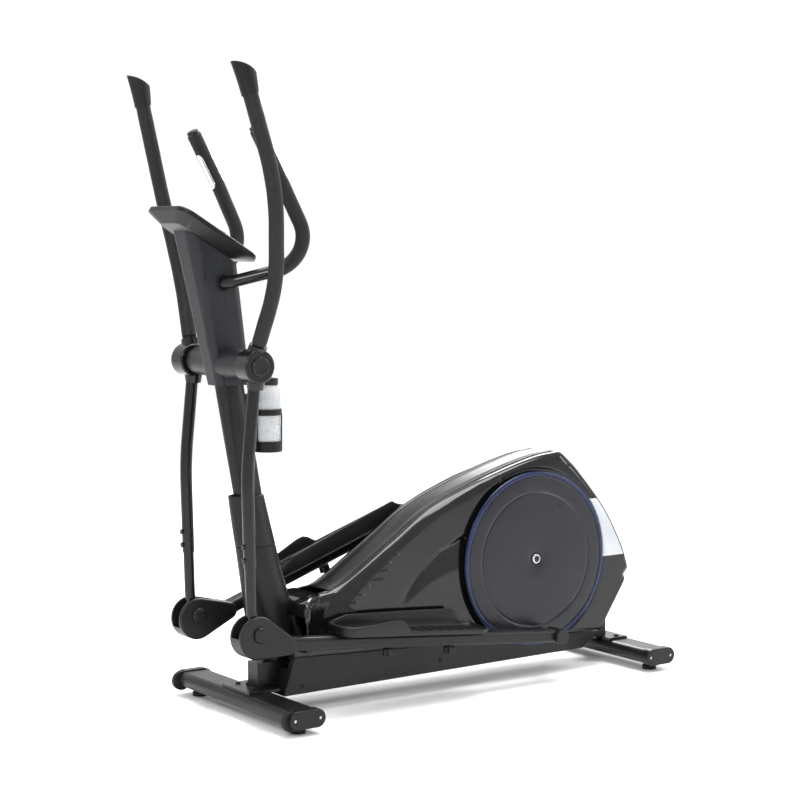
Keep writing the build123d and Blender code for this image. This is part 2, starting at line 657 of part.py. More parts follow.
def hub(side):
    """Moulded barrel on the pivot shaft with sockets for both tubes, and its outer cap."""
    barrel = rod_y(PIVOT_X, PIVOT_Z, HUB_R, side * HUB_IN, side * HUB_OUT)
    barrel = fillet(barrel.edges().filter_by(GeomType.CIRCLE), 5)
    top = Vector(UPPER_BENDS[0][0], side * UPPER_BENDS[0][1], UPPER_BENDS[0][2])
    lift = Vector(UPPER_BENDS[1][0], side * UPPER_BENDS[1][1], UPPER_BENDS[1][2]) - top
    socket = Plane(top, z_dir=lift)
    barrel += socket * Pos(0, 0, 6) * Cone(26, 23, 44)
    barrel += Pos(LOWER_TOP[0] + 1, side * ARM_Y, LOWER_TOP[1] - 22) * Cone(20, 26, 34)
    barrel -= socket * Pos(0, 0, 60) * Cylinder(UPPER_TUBE_R, 120)
    drop = Plane((LOWER_TOP[0], side * ARM_Y, LOWER_TOP[1]),
                 z_dir=(LOWER_BEND[0] - LOWER_TOP[0], 0, LOWER_BEND[1] - LOWER_TOP[1]))
    barrel -= drop * Pos(0, 0, 60) * Cylinder(TUBE_R, 120)
    barrel -= rod_y(PIVOT_X, PIVOT_Z, SHAFT_R + RUNNING, side * (HUB_IN - 1), side * (HUB_OUT - 6))
    cap = rod_y(PIVOT_X, PIVOT_Z, 25, side * HUB_OUT, side * (HUB_OUT + 6))
    rim = cap.faces().sort_by(Axis.Y)[-1 if side > 0 else 0].edges()
    return [barrel, fillet(rim, 4)]


def lower_line(z):
    """The straight part of the lower arm, as x at a height."""
    slope = (LEG_BEND[0] - LOWER_BEND[0]) / (LEG_BEND[1] - LOWER_BEND[1])
    return LOWER_BEND[0] + slope * (z - LOWER_BEND[1])


def arm_bolt(side, z):
    x = lower_line(z)
    head = Pos(x - TUBE_R, side * ARM_Y, z) * Rot(0, -90, 0) * extrude(RegularPolygon(7, 6), 5)
    shank = Pos(x, side * ARM_Y, z) * Rot(0, 90, 0) * Cylinder(4, 2 * TUBE_R)
    return head + shank


def lower_arm(side):
    """Outer tube from the hub, inner leg with the lower bush, and their two bolts."""
    y = side * ARM_Y
    path = FilletPolyline((LOWER_TOP[0], y, LOWER_TOP[1]), (LOWER_BEND[0], y, LOWER_BEND[1]),
                          (lower_line(SLEEVE_END), y, SLEEVE_END), radius=1000)
    sleeve = tube_along(path, TUBE_R, LEG_R + 0.1)
    leg_path = FilletPolyline((lower_line(LEG_TOP), y, LEG_TOP), (LEG_BEND[0], y, LEG_BEND[1]),
                              (KNEE_X, y, KNEE_Z + 4), radius=100)
    leg = sweep_round(leg_path, LEG_R)
    leg += rod_y(KNEE_X, KNEE_Z, PIN_R + 10, y - 17, y + 17)
    leg -= rod_y(KNEE_X, KNEE_Z, PIN_R + RUNNING, y - 18, y + 18)
    bolts = [arm_bolt(side, z) for z in (470, 435)]
    for bolt in bolts:
        sleeve -= bolt
        leg -= bolt
    return [sleeve, leg, *bolts]


# ---------------------------------------------------------------- pedal arms
TUBE_AT = Vector(62, 0, -27)     # the arm tube starts behind and below the lower pivot
TUBE_WIDTH, TUBE_HEIGHT = 44, 36
BEARING_R = 21
KNOB_AT = (357, 557)


def pedal_frame(name):
    """Frame at the lower pivot, X along the line to the crank pin."""
    reach = PIN_OF[name] - KNEE
    return Pos(KNEE) * Rot(0, -degrees(atan2(reach.Z, reach.X)), 0)


def tube_frame(name):
    """Frame on the pedal arm's tube, X along the tube."""
    tilt = degrees(atan2(-TUBE_AT.Z, ARM_LENGTH - TUBE_AT.X))
    return pedal_frame(name) * Pos(TUBE_AT) * Rot(0, -tilt, 0)


TUBE_LENGTH = (Vector(ARM_LENGTH, 0, 0) - TUBE_AT).length


def tube_bar(side, less, start, end):
    section = Plane.YZ * Pos(side * ARM_Y, 0) * RectangleRounded(
        TUBE_WIDTH - 2 * less, TUBE_HEIGHT - 2 * less, 11 - less)
    return Pos(start, 0, 0) * extrude(section, end - start)


def pedal_arm(name):
    side = SIDES[name]
    tube = tube_bar(side, 0, 0, TUBE_LENGTH - 12) - tube_bar(side, 2.5, -1, TUBE_LENGTH)
    tube += rod_y(TUBE_LENGTH, 0, BEARING_R, side * (ARM_Y - 24), side * (ARM_Y + 30))
    tube -= rod_y(TUBE_LENGTH, 0, 12, side * (ARM_Y - 60), side * (ARM_Y + 31))
    for x in KNOB_AT:
        tube -= rod_z(x, side * ARM_Y, 5, -40, 40)
    return tube_frame(name) * tube


def pedal_shoe(name):
    """Two cheeks either side of the swing arm's bush, over a solid web."""
    side = SIDES[name]
    outline = make_hull([*disc(-2, -9, 55).edges(), *disc(92, -27, 23).edges()])
    body = side_slab(outline, side, SHOE_IN, SHOE_OUT)
    faces = body.faces().sort_by(Axis.Y)
    body = fillet(faces[0].edges() + faces[-1].edges(), 6)
    slot = Polyline((-70, 90), (-70, -8), (-26, -25), (26, -25), (64, 22), (64, 90), close=True)
    body -= side_slab(make_face(slot), side, SHOE_IN + CHEEK, SHOE_OUT - CHEEK)
    body -= rod_y(0, 0, PIN_R, side * (SHOE_IN - 1), side * (SHOE_OUT + 1))
    placed = pedal_frame(name) * body
    return placed - tube_frame(name) * tube_bar(side, 0, 0, 200)


TRAY_LOW = TUBE_HEIGHT / 2 + 1


# Height of the tray's rim over its underside, along the inner and the outer edge.
INNER_EDGE = [(-9, 26), (25, 30), (70, 45), (240, 51), (428, 55), (438, 20), (486, 18)]
OUTER_EDGE = [(-9, 26), (25, 26), (90, 33), (150, 43), (172, 44), (186, 36), (198, 14), (486, 14)]


def pedal_tray(name):
    """Foot tray: high wall at the toe and on the inside, low wall outside and at the heel."""
    side = SIDES[name]
    width = TRAY_OUT - TRAY_IN
    middle = side * (TRAY_IN + TRAY_OUT) / 2
    start = TRAY_START - TUBE_AT.X
    centre = start + TRAY_LENGTH / 2
    outer = Pos(centre, middle) * RectangleRounded(TRAY_LENGTH, width, 34)
    inner = Pos(centre, middle) * RectangleRounded(TRAY_LENGTH - 12, width - 12, 28)
    tray = Pos(0, 0, TRAY_LOW) * (extrude(outer, 58) - Pos(0, 0, 7) * extrude(inner, 60))
    for edge, near, far in ((INNER_EDGE, TRAY_IN - 5, TRAY_IN + 40), (OUTER_EDGE, TRAY_IN + 40, TRAY_OUT + 5)):
        line = [(start + x, TRAY_LOW + z) for x, z in edge]
        above = Polyline((start - 9, 120), *line, (start + TRAY_LENGTH + 9, 120), close=True)
        tray -= side_slab(make_face(above), side, near, far)
    for number in range(11):
        x = start + 42 + 34 * number
        rib = Pos(x, middle, TRAY_LOW + 8) * Box(8, width - 40, 3)
        tray += rib
    tray += Pos(centre, side * ARM_Y, TRAY_LOW - 0.5) * Box(330, 30, 1)
    for x in KNOB_AT:
        tray -= rod_z(x, side * ARM_Y, 5, -40, TRAY_LOW + 5)
    return tube_frame(name) * tray


def star_knob(x, y):
    """Six-lobed knob under the arm, its stud up through the tube into the tray."""
    low = -TUBE_HEIGHT / 2 - 22
    knob = rod_z(x, y, 13, low, low + 18)
    for number in range(6):
        angle = radians(60 * number)
        knob += rod_z(x + 12 * cos(angle), y + 12 * sin(angle), 4.5, low, low + 16)
    return knob + rod_z(x, y, 5, low + 16, TRAY_LOW + 4)


def pedal_hardware(name):
    """Lower pivot pin with a domed cap at each end, crank pin, and the tray's two knobs."""
    side = SIDES[name]
    pin = rod_y(0, 0, PIN_R, side * SHOE_IN, side * SHOE_OUT)
    caps = []
    for inner, outer in ((SHOE_OUT, SHOE_OUT + 11), (SHOE_IN - 9, SHOE_IN)):
        cap = rod_y(0, 0, BEARING_R, side * inner, side * outer)
        faces = cap.faces().sort_by(Axis.Y)
        crown = faces[-1] if (side > 0) == (inner == SHOE_OUT) else faces[0]
        caps.append(fillet(crown.edges(), 8))
    placed = [pedal_frame(name) * item for item in (pin, *caps)]
    crank_pin = rod_y(TUBE_LENGTH, 0, 12, side * (DISC_OUT + 0.6), side * (ARM_Y + 30))
    end = rod_y(TUBE_LENGTH, 0, BEARING_R, side * (ARM_Y + 30), side * (ARM_Y + 36))
    face = end.faces().sort_by(Axis.Y)[-1 if side > 0 else 0]
    knobs = [star_knob(x, side * ARM_Y) for x in KNOB_AT]
    placed += [tube_frame(name) * item for item in (crank_pin, fillet(face.edges(), 4), *knobs)]
    return placed


# ---------------------------------------------------------------- housing
RIDGE = [(-430, 306), (-357, 325), (-204, 422), (-78, 503), (58, 559), (198, 603), (300, 628), (368, 636)]
TAIL = [(392, 628), (451, 574), (547, 463), (612, 354), (636, 292)]
SPLIT_FRONT, SPLIT_REAR = (-522, 152), (524, 108)


NOSE = [(-522, 262), (-498, 306), RIDGE[0]]
BROW, TIP = (381, 634), (638, 276)
TIP_END = (624, 258)


def moved_in(curve, points, depth):
    """A curve's own points, moved square to it towards the inside."""
    places = [Vector(*point) for point in points]
    tangents = [curve.tangent_at(curve.param_at_point(place)) for place in places]
    return [place + Vector(way.Y, -way.X) * depth for place, way in zip(places, tangents)]


def housing_outline(depth=0):
    """Side view of the upper housing, drawn in by depth."""
    nose = Spline(*NOSE, tangents=[(0, 1), (1, 0)])
    ridge = Spline(*RIDGE, tangents=[(1, 0), (1, 0)])
    tail = Spline(*TAIL)
    nose_in = moved_in(nose, NOSE, depth)
    ridge_in = moved_in(ridge, RIDGE, depth)
    tail_in = moved_in(tail, TAIL, depth)
    brow_in = Vector(*BROW) + Vector(-0.5, -0.86) * depth
    tip_in = Vector(*TIP) + Vector(-1, 0.05) * depth
    tip_end = Vector(*TIP_END) + Vector(-0.89, 0.46) * depth
    rear_in = Vector(*SPLIT_REAR) + Vector(-0.65, 1) * depth
    front_in = Vector(*SPLIT_FRONT) + Vector(1, 1) * depth
    rest = Polyline(tip_end, rear_in, front_in, nose_in[0])
    curves = [Spline(*nose_in, tangents=[(0, 1), (1, 0)]),
              Spline(*ridge_in, tangents=[(1, 0), (1, 0)]),
              ThreePointArc(ridge_in[-1], brow_in, tail_in[0]),
              Spline(*tail_in), ThreePointArc(tail_in[-1], tip_in, tip_end), rest]
    return make_face([edge for curve in curves for edge in curve.edges()])


def strip_band(depth):
    """The band just under the ridge, from the valley to the brow."""
    outline = housing_outline()
    window = make_face(Polyline((-395, 250), (-395, 480), (200, 700), (470, 700), (330, 560), close=True))
    return (outline - Pos(0, -1.3 * depth) * outline) & window


def boot_core():
    levels = [(120, 90, 61.5, 16.5), (250, 73.4, 51.4, 6), (340, 64.4, 46.4, 0), (443, 58.2, 41.2, -3)]
    return loft([Pos(mast_at(z).X + shift, 0, z) * Ellipse(depth, width)
                 for z, depth, width, shift in levels])


def side_shell(side):
    """Half of the upper housing: an outer skin with a broad shoulder and an open middle."""
    outline = housing_outline()
    skin = side_slab(outline, side, 0.2, SIDE_Y)
    rim = skin.faces().sort_by(Axis.Y)[-1 if side > 0 else 0].edges()
    skin = chamfer(rim, 20, 15)
    core = side_slab(housing_outline(SHELL_WALL + 14), side, 0, SIDE_Y - SHELL_WALL)
    band = side_slab(housing_outline(SHELL_WALL), side, 0, SIDE_Y - 26)
    open_base = make_face(Polyline((-505, 140), (-505, 190), (503, 150), (503, 100), close=True))
    skin -= core + band
    skin -= side_slab(open_base, side, 0, SIDE_Y - SHELL_WALL)
    skin -= block(-700, 700, -BEAM_WIDTH / 2 - 1, BEAM_WIDTH / 2 + 1, BEAM_LOW, BEAM_HIGH + 1)
    skin -= side_slab(strip_band(SHELL_WALL + 1), side, 0, STRIP_HALF + 0.3)
    skin -= side_slab(disc(CRANK_X, CRANK_Z, AXLE_R + 8), side, 60, 100)
    skin -= side_slab(rear_panel_face(0.3), side, SIDE_Y - 1.5, SIDE_Y + 1)
    return skin - boot_core()


def ridge_strip():
    """Satin strip along the ridge between the side shells."""
    strip = slab(strip_band(SHELL_WALL), -STRIP_HALF, STRIP_HALF)
    return strip - boot_core()


def rear_panel_face(grow):
    window = make_face(Polyline((430, 497 + grow), (700, 497 + grow), (700, 318 - grow),
                                (430, 326 - grow), close=True))
    inside = housing_outline(17 - grow)
    return (window & inside) - disc(CRANK_X, CRANK_Z, DISC_R + 8 - grow)


def rear_panel(side):
    return side_slab(rear_panel_face(0), side, SIDE_Y - 1.4, SIDE_Y + 0.8)


def lower_cover(side):
    """Skirt under the side shell, closed underneath, open at the beam's ends."""
    outline = make_face(Polyline((-552, 50), (462, 60), (520, 104), (-520, 148), close=True))
    core = offset(outline, -SHELL_WALL)
    roof = make_face(Polyline((-515, 100), (455, 90), (502, 101), (512, 130), (-515, 170), close=True))
    cover = side_slab(outline, side, 0.2, SIDE_Y - 4)
    cover -= side_slab(core, side, 0, SIDE_Y - 4 - SHELL_WALL)
    cover -= side_slab(roof, side, 0, SIDE_Y - 4 - SHELL_WALL)
    cover -= block(-700, 700, -BEAM_WIDTH / 2 - 1, BEAM_WIDTH / 2 + 1, BEAM_LOW - 2, 200)
    return cover - boot_core()


# ---------------------------------------------------------------- write every node
save("main_frame", main_frame(), *frame_bolts())
save("drive_brackets", *drive_brackets(), idler_bracket(), *brake_mount())
save("bearings", *bearings())
save("front_stabiliser", stabiliser(FRONT_HALF, -STAB_X))
save("rear_stabiliser", stabiliser(REAR_HALF, STAB_X))
ENDS = [(side, half, x) for side in (LEFT, RIGHT)
        for half, x in ((FRONT_HALF, -STAB_X), (REAR_HALF, STAB_X))]
save("stabiliser_caps", *[stabiliser_cap(side, half, x, x < 0) for side, half, x in ENDS],
     *[wheel_axle(side) for side in (LEFT, RIGHT)])
save("cap_screws", *[screw for end in ENDS for screw in cap_screws(*end)])
save("levelling_feet", *[levelling_foot(x, side * (half - FOOT_INSET)) for side, half, x in ENDS])
save("mast_tube", mast_tube())
save("mast_boot", *mast_boot())
shroud_front, shroud_rear = shroud_halves()
save("shroud_front", shroud_front)
save("shroud_rear", shroud_rear)
save("pivot_shaft", pivot_shaft())
save("fixed_handlebar", fixed_handlebar())
save("bar_grips", *bar_grips())
save("pulse_plates", *pulse_plates())
save("console_back", console_back())
save("console_bezel", console_bezel())
save("console_screen", console_screen())
save("jog_dial", jog_dial())
for key in KEY_Y:
    save("key_" + key, console_key(key))
save("bottle", bottle())
save("bottle_cap", bottle_cap())
save("bottle_cage", bottle_cage())
save("crank_set", *crank_set())
save("crank_discs", crank_disc(LEFT, LOW_PIN), crank_disc(RIGHT, HIGH_PIN))
save("disc_rings", disc_ring(LEFT), disc_ring(RIGHT))
save("drive_pulley", drive_pulley())
save("flywheel", *flywheel())
save("drive_belt", drive_belt())
save("idler_wheel", idler_wheel())
save("brake_bracket", *brake_bracket())
save("ridge_strip", ridge_strip())
save("rear_panels", rear_panel(LEFT), rear_panel(RIGHT))
save("lower_covers", lower_cover(LEFT), lower_cover(RIGHT))
for name, side in SIDES.items():
    save("transport_wheel_" + name, transport_wheel(side))
    save("side_shell_" + name, side_shell(side))
    save("upper_arm_" + name, upper_arm(side))
    save("arm_grip_" + name, arm_grip(side))
    save("arm_end_cap_" + name, arm_end_cap(side))
    save("hub_" + name, *hub(side))
    save("lower_arm_" + name, *lower_arm(side))
    save("pedal_arm_" + name, pedal_arm(name))
    save("pedal_shoe_" + name, pedal_shoe(name))
    save("pedal_tray_" + name, pedal_tray(name))
    save("pedal_hardware_" + name, *pedal_hardware(name))
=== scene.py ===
"""Looks of the elliptical trainer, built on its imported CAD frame.

Lengths in the tables below are millimetres in the part's own design frame: X is
measured from halfway between the two stabilisers, Y from the middle plane, and
Z from the floor. place() turns them into the frame's metres.
"""

import json
import math
import random

import bmesh
import bpy
import numpy as np
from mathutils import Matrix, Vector


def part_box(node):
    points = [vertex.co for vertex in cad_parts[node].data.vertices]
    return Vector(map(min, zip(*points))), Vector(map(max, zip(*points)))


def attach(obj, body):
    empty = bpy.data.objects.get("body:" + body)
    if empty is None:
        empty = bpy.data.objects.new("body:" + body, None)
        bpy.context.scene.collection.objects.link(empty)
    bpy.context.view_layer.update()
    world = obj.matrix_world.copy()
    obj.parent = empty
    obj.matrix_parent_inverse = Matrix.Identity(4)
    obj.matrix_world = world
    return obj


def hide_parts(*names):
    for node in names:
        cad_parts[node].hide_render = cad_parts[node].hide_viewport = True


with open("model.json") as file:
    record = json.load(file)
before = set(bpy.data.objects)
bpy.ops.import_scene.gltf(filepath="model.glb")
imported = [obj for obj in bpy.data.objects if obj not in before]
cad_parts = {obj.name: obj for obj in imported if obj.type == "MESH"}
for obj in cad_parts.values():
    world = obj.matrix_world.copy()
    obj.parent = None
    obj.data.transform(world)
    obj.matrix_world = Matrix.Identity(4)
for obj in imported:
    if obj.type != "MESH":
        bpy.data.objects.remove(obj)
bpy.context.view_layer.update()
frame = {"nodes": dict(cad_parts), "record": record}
random.seed(7)

# ---------------------------------------------------------------- places taken from the frame
SIDES = {"left": -1, "right": 1}


def middle(node):
    low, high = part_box(node)
    return (low + high) / 2


DISC_X, DISC_Z = 272, 340
DISC_R = 248
SHIFT = middle("disc_rings").x * 1000 - DISC_X


def place(x, y, z):
    return Vector(((x + SHIFT) / 1000, y / 1000, z / 1000))


# ---------------------------------------------------------------- materials
def ramp(nodes, links, source, stops):
    node = nodes.new("ShaderNodeValToRGB")
    node.color_ramp.elements[0].position = stops[0][0]
    node.color_ramp.elements[0].color = (*stops[0][1], 1)
    node.color_ramp.elements[1].position = stops[-1][0]
    node.color_ramp.elements[1].color = (*stops[-1][1], 1)
    for position, colour in stops[1:-1]:
        element = node.color_ramp.elements.new(position)
        element.color = (*colour, 1)
    links.new(source, node.inputs["Fac"])
    return node.outputs["Color"]


def noise(nodes, links, where, scale, detail=3.0, roughness=0.55):
    node = nodes.new("ShaderNodeTexNoise")
    node.inputs["Scale"].default_value = scale
    node.inputs["Detail"].default_value = detail
    node.inputs["Roughness"].default_value = roughness
    links.new(where, node.inputs["Vector"])
    return node.outputs["Fac"]


def surface(name, dark, light, rough, metal=0.0, grain=700, bump=0.08, depth=0.0004, cloud=7,
            spread=0.06, coat=0.0, stretch=(1, 1, 1), sheen=0.0, clear=0.0, specular=0.5):
    """A moulded, painted or metal surface: uneven colour, uneven gloss and a fine grain."""
    material = bpy.data.materials.new(name)
    material.use_nodes = True
    nodes, links = material.node_tree.nodes, material.node_tree.links
    shader = nodes["Principled BSDF"]
    where = nodes.new("ShaderNodeTexCoord").outputs["Object"]
    scaled = nodes.new("ShaderNodeMapping")
    scaled.inputs["Scale"].default_value = stretch
    links.new(where, scaled.inputs["Vector"])
    broad = noise(nodes, links, where, cloud, 4)
    links.new(ramp(nodes, links, broad, [(0.3, dark), (0.7, light)]), shader.inputs["Base Color"])
    gloss = nodes.new("ShaderNodeMapRange")
    gloss.inputs["To Min"].default_value = max(rough - spread, 0.02)
    gloss.inputs["To Max"].default_value = min(rough + spread, 1.0)
    links.new(noise(nodes, links, where, cloud * 4, 5), gloss.inputs["Value"])
    links.new(gloss.outputs["Result"], shader.inputs["Roughness"])
    relief = nodes.new("ShaderNodeBump")
    relief.inputs["Strength"].default_value = bump
    relief.inputs["Distance"].default_value = depth
    links.new(noise(nodes, links, scaled.outputs["Vector"], grain, 2), relief.inputs["Height"])
    links.new(relief.outputs["Normal"], shader.inputs["Normal"])
    shader.inputs["Metallic"].default_value = metal
    shader.inputs["Coat Weight"].default_value = coat
    shader.inputs["Coat Roughness"].default_value = 0.05
    shader.inputs["Sheen Weight"].default_value = sheen
    shader.inputs["Specular IOR Level"].default_value = specular
    shader.inputs["Transmission Weight"].default_value = clear
    return material


def foam_surface(name):
    """Closed-cell foam: small pits over a slightly mottled skin."""
    material = bpy.data.materials.new(name)
    material.use_nodes = True
    nodes, links = material.node_tree.nodes, material.node_tree.links
    shader = nodes["Principled BSDF"]
    where = nodes.new("ShaderNodeTexCoord").outputs["Object"]
    pits = nodes.new("ShaderNodeTexVoronoi")
    pits.inputs["Scale"].default_value = 620
    links.new(where, pits.inputs["Vector"])
    mottled = noise(nodes, links, where, 38, 5)
    links.new(ramp(nodes, links, mottled, [(0.3, (0.005, 0.005, 0.006)), (0.75, (0.011, 0.011, 0.012))]),
              shader.inputs["Base Color"])
    relief = nodes.new("ShaderNodeBump")
    relief.inputs["Strength"].default_value = 0.45
    relief.inputs["Distance"].default_value = 0.0007
    links.new(pits.outputs["Distance"], relief.inputs["Height"])
    links.new(relief.outputs["Normal"], shader.inputs["Normal"])
    gloss = nodes.new("ShaderNodeMapRange")
    gloss.inputs["To Min"].default_value = 0.42
    gloss.inputs["To Max"].default_value = 0.60
    links.new(mottled, gloss.inputs["Value"])
    links.new(gloss.outputs["Result"], shader.inputs["Roughness"])
    shader.inputs["Specular IOR Level"].default_value = 0.26
    return material


LOOKS = {
    "frame_paint": surface("satin_black_paint", (0.005, 0.005, 0.006), (0.009, 0.009, 0.010), 0.32,
                           grain=420, bump=0.10, specular=0.24),
    "arm_paint": surface("gloss_black_paint", (0.004, 0.004, 0.005), (0.008, 0.008, 0.009), 0.20,
                         grain=260, bump=0.05, specular=0.32),
    "base_paint": surface("satin_base_paint", (0.006, 0.006, 0.007), (0.011, 0.011, 0.012), 0.32,
                          grain=420, bump=0.10, specular=0.24),
    "steel": surface("turned_steel", (0.42, 0.42, 0.44), (0.58, 0.58, 0.60), 0.30, metal=1.0,
                     grain=900, bump=0.12, stretch=(1, 8, 1)),
    "chrome": surface("chrome_plate", (0.74, 0.74, 0.76), (0.86, 0.86, 0.87), 0.09, metal=1.0,
                      grain=500, bump=0.02, spread=0.03),
    "cast_iron": surface("machined_iron", (0.07, 0.07, 0.075), (0.15, 0.15, 0.155), 0.48, metal=1.0,
                         grain=520, bump=0.30),
    "alloy_pulley": surface("cast_alloy", (0.40, 0.41, 0.42), (0.52, 0.53, 0.54), 0.38, metal=1.0,
                            grain=600, bump=0.12),
    "shroud_plastic": surface("shroud_satin", (0.010, 0.011, 0.013), (0.016, 0.017, 0.020), 0.38,
                              grain=1500, bump=0.14, specular=0.26),
    "dark_plastic": surface("dark_satin_plastic", (0.005, 0.005, 0.006), (0.009, 0.009, 0.010), 0.34,
                            grain=1400, bump=0.14, specular=0.22),
    "gloss_shell": surface("gloss_black_shell", (0.003, 0.003, 0.004), (0.006, 0.006, 0.007), 0.12,
                           grain=60, bump=0.02, spread=0.03, specular=0.34),
    "hub_shell": surface("gloss_hub_shell", (0.004, 0.004, 0.005), (0.008, 0.008, 0.009), 0.14,
                         grain=90, bump=0.03, spread=0.03, specular=0.34),
    "silver_panel": surface("silver_panel", (0.40, 0.42, 0.44), (0.50, 0.52, 0.54), 0.36,
                            grain=1600, bump=0.08, metal=0.15),
    "disc_plastic": surface("satin_disc", (0.009, 0.009, 0.012), (0.014, 0.014, 0.018), 0.30,
                            grain=1300, bump=0.08, specular=0.28),
    "navy_ring": surface("navy_ring", (0.003, 0.008, 0.034), (0.006, 0.014, 0.055), 0.26,
                         grain=900, bump=0.05, specular=0.3),
    "pedal_plastic": surface("pedal_plastic", (0.006, 0.006, 0.007), (0.011, 0.011, 0.012), 0.36,
                             grain=1100, bump=0.16, specular=0.24),
    "foam": foam_surface("grip_foam"),
    "soft_rubber": surface("soft_rubber", (0.006, 0.006, 0.007), (0.012, 0.012, 0.013), 0.60,
                           grain=900, bump=0.22, specular=0.2),
    "belt_rubber": surface("belt_rubber", (0.012, 0.012, 0.012), (0.022, 0.022, 0.022), 0.60,
                           grain=800, bump=0.2),
    "screen_glass": surface("screen_glass", (0.010, 0.014, 0.018), (0.016, 0.020, 0.026), 0.08,
                            grain=40, bump=0.01, coat=0.8, spread=0.02),
    "key_grey": surface("key_grey", (0.16, 0.165, 0.17), (0.22, 0.225, 0.23), 0.40,
                        grain=1400, bump=0.10),
    "bottle_plastic": surface("bottle_plastic", (0.50, 0.52, 0.54), (0.62, 0.64, 0.66), 0.28,
                              grain=500, bump=0.08, clear=0.35),
}
# Painted shade: a matte near-black for thin strips that stand in for the shade inside seams, slots and gaps.
GROOVE_SHADE = surface("painted_groove_shade", (0.002, 0.002, 0.002), (0.005, 0.005, 0.005), 0.7, grain=900)


# ---------------------------------------------------------------- mesh helpers
def piece(name, points, faces, body, slot, stands_for=(), smooth=True, look=None):
    """A mesh from points already in the frame's metres."""
    mesh = bpy.data.meshes.new(name)
    mesh.from_pydata([tuple(p) for p in points], [], faces)
    mesh.validate()
    cleaned = bmesh.new()
    cleaned.from_mesh(mesh)
    bmesh.ops.remove_doubles(cleaned, verts=cleaned.verts, dist=1e-6)
    bmesh.ops.recalc_face_normals(cleaned, faces=cleaned.faces)
    cleaned.to_mesh(mesh)
    cleaned.free()
    mesh.polygons.foreach_set("use_smooth", [smooth] * len(mesh.polygons))
    made = bpy.data.objects.new(name, mesh)
    bpy.context.scene.collection.objects.link(made)
    mesh.materials.append(look or LOOKS[slot])
    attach(made, body)
    if stands_for:
        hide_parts(*stands_for)
    return made


def soften(item, width, segments=2, angle=32):
    """Round the sharp edges of a piece, which real mouldings never have."""
    bevel = item.modifiers.new("bevel", "BEVEL")
    bevel.width = width / 1000
    bevel.segments = segments
    bevel.limit_method = "ANGLE"
    bevel.angle_limit = math.radians(angle)
    bevel.harden_normals = True
    normals = item.modifiers.new("normals", "WEIGHTED_NORMAL")
    normals.keep_sharp = True
    return item


def grid_faces(rows, columns, closed=False):
    wrap = columns if closed else columns - 1
    return [(r * columns + c, r * columns + (c + 1) % columns,
             (r + 1) * columns + (c + 1) % columns, (r + 1) * columns + c)
            for r in range(rows - 1) for c in range(wrap)]


def lathe(name, centre, axis, profile, body, slot, stands_for=(), steps=96, wobble=None, look=None):
    """Turn a profile of (radius, height) in mm about an axis through centre."""
    way = Vector(axis).normalized()
    side = way.orthogonal().normalized()
    other = way.cross(side)
    points = []
    for radius, height in profile:
        for number in range(steps):
            angle = 2 * math.pi * number / steps
            reach = radius * (wobble(angle, radius, height) if wobble else 1)
            out = side * math.cos(angle) + other * math.sin(angle)
            points.append(centre + (out * reach + way * height) / 1000)
    faces = grid_faces(len(profile), steps, True)
    return piece(name, points, faces, body, slot, stands_for, look=look)


def smooth_path(points, per_span=10):
    """Points along a Catmull-Rom curve."""
    pts = [Vector(p) for p in points]
    pts = [pts[0] * 2 - pts[1], *pts, pts[-1] * 2 - pts[-2]]
    line = []
    for a, b, c, d in zip(pts, pts[1:], pts[2:], pts[3:]):
        for number in range(per_span):
            t = number / per_span
            line.append(0.5 * ((2 * b) + (c - a) * t + (2 * a - 5 * b + 4 * c - d) * t ** 2
                               + (3 * b - a - 3 * c + d) * t ** 3))
    line.append(pts[-2])
    return line


def interpolate(points, x):
    xs = [p[0] for p in points]
    zs = [p[1] for p in points]
    return float(np.interp(x, xs, zs))


def ease(value):
    value = min(max(value, 0.0), 1.0)
    return value * value * (3 - 2 * value)


# ---------------------------------------------------------------- housing outline
NOSE = [(-522, 262), (-515, 288), (-498, 300), (-465, 305), (-430, 306)]
RIDGE = [(-430, 306), (-357, 325), (-204, 422), (-78, 503), (58, 559), (198, 603), (300, 628),
         (368, 636)]
BROW = [(368, 636), (381, 634), (392, 628)]
TAIL = [(392, 628), (451, 574), (547, 463), (612, 354), (636, 292)]
TIP = [(636, 292), (638, 276), (624, 258)]
SPLIT_FRONT, SPLIT_REAR = (-522, 152), (524, 108)


def dense(points, per_span=12):
    return [(p.x, p.z) for p in smooth_path([(x, 0, z) for x, z in points], per_span)]


TOP = dense(NOSE, 5) + dense(RIDGE, 14)[1:] + dense(BROW, 5)[1:] + dense(TAIL, 14)[1:] + dense(TIP, 4)[1:]
BOTTOM = [SPLIT_FRONT, SPLIT_REAR, (624, 258)]
TOP_RIM = np.array(TOP)
UPPER_CREASE = [(-437, 214), (-421, 260), (-395, 300), (-361, 334), (-309, 382), (-259, 411),
                (-189, 445), (-83, 505), (1, 534), (87, 564), (157, 583), (240, 604)]
LOWER_CREASE = [(-420, 170), (-368, 245), (-342, 280), (-297, 323), (-243, 364), (-189, 413), (-137, 447),
                (-87, 481), (-3, 527), (87, 563), (157, 583), (240, 604)]
SICKLE_TOP = [(-193, 247), (-187, 260), (-160, 293), (-121, 336), (-54, 388), (-13, 406), (32, 424)]
SICKLE_LOW = [(-177, 246), (-154, 265), (-87, 305), (-43, 320), (-2, 330), (32, 336)]
VENTS = [(-197, 392, 18), (-223, 372, 22), (-239, 353, 42), (-259, 331, 50), (-293, 316, 22),
         (-314, 295, 24), (-334, 276, 26), (-346, 255, 44)]
FACE_Y = 84
STRIP_Y = 45


def edge_distance(x, z):
    """Distance from the upper rim of the outline, which the shoulder rounds down to."""
    a, b = TOP_RIM[:-1], TOP_RIM[1:]
    d = b - a
    t = np.clip(((x - a[:, 0]) * d[:, 0] + (z - a[:, 1]) * d[:, 1]) / (d ** 2).sum(1), 0, 1)
    near = a + d * t[:, None]
    return float(np.sqrt(((near - (x, z)) ** 2).sum(1)).min())


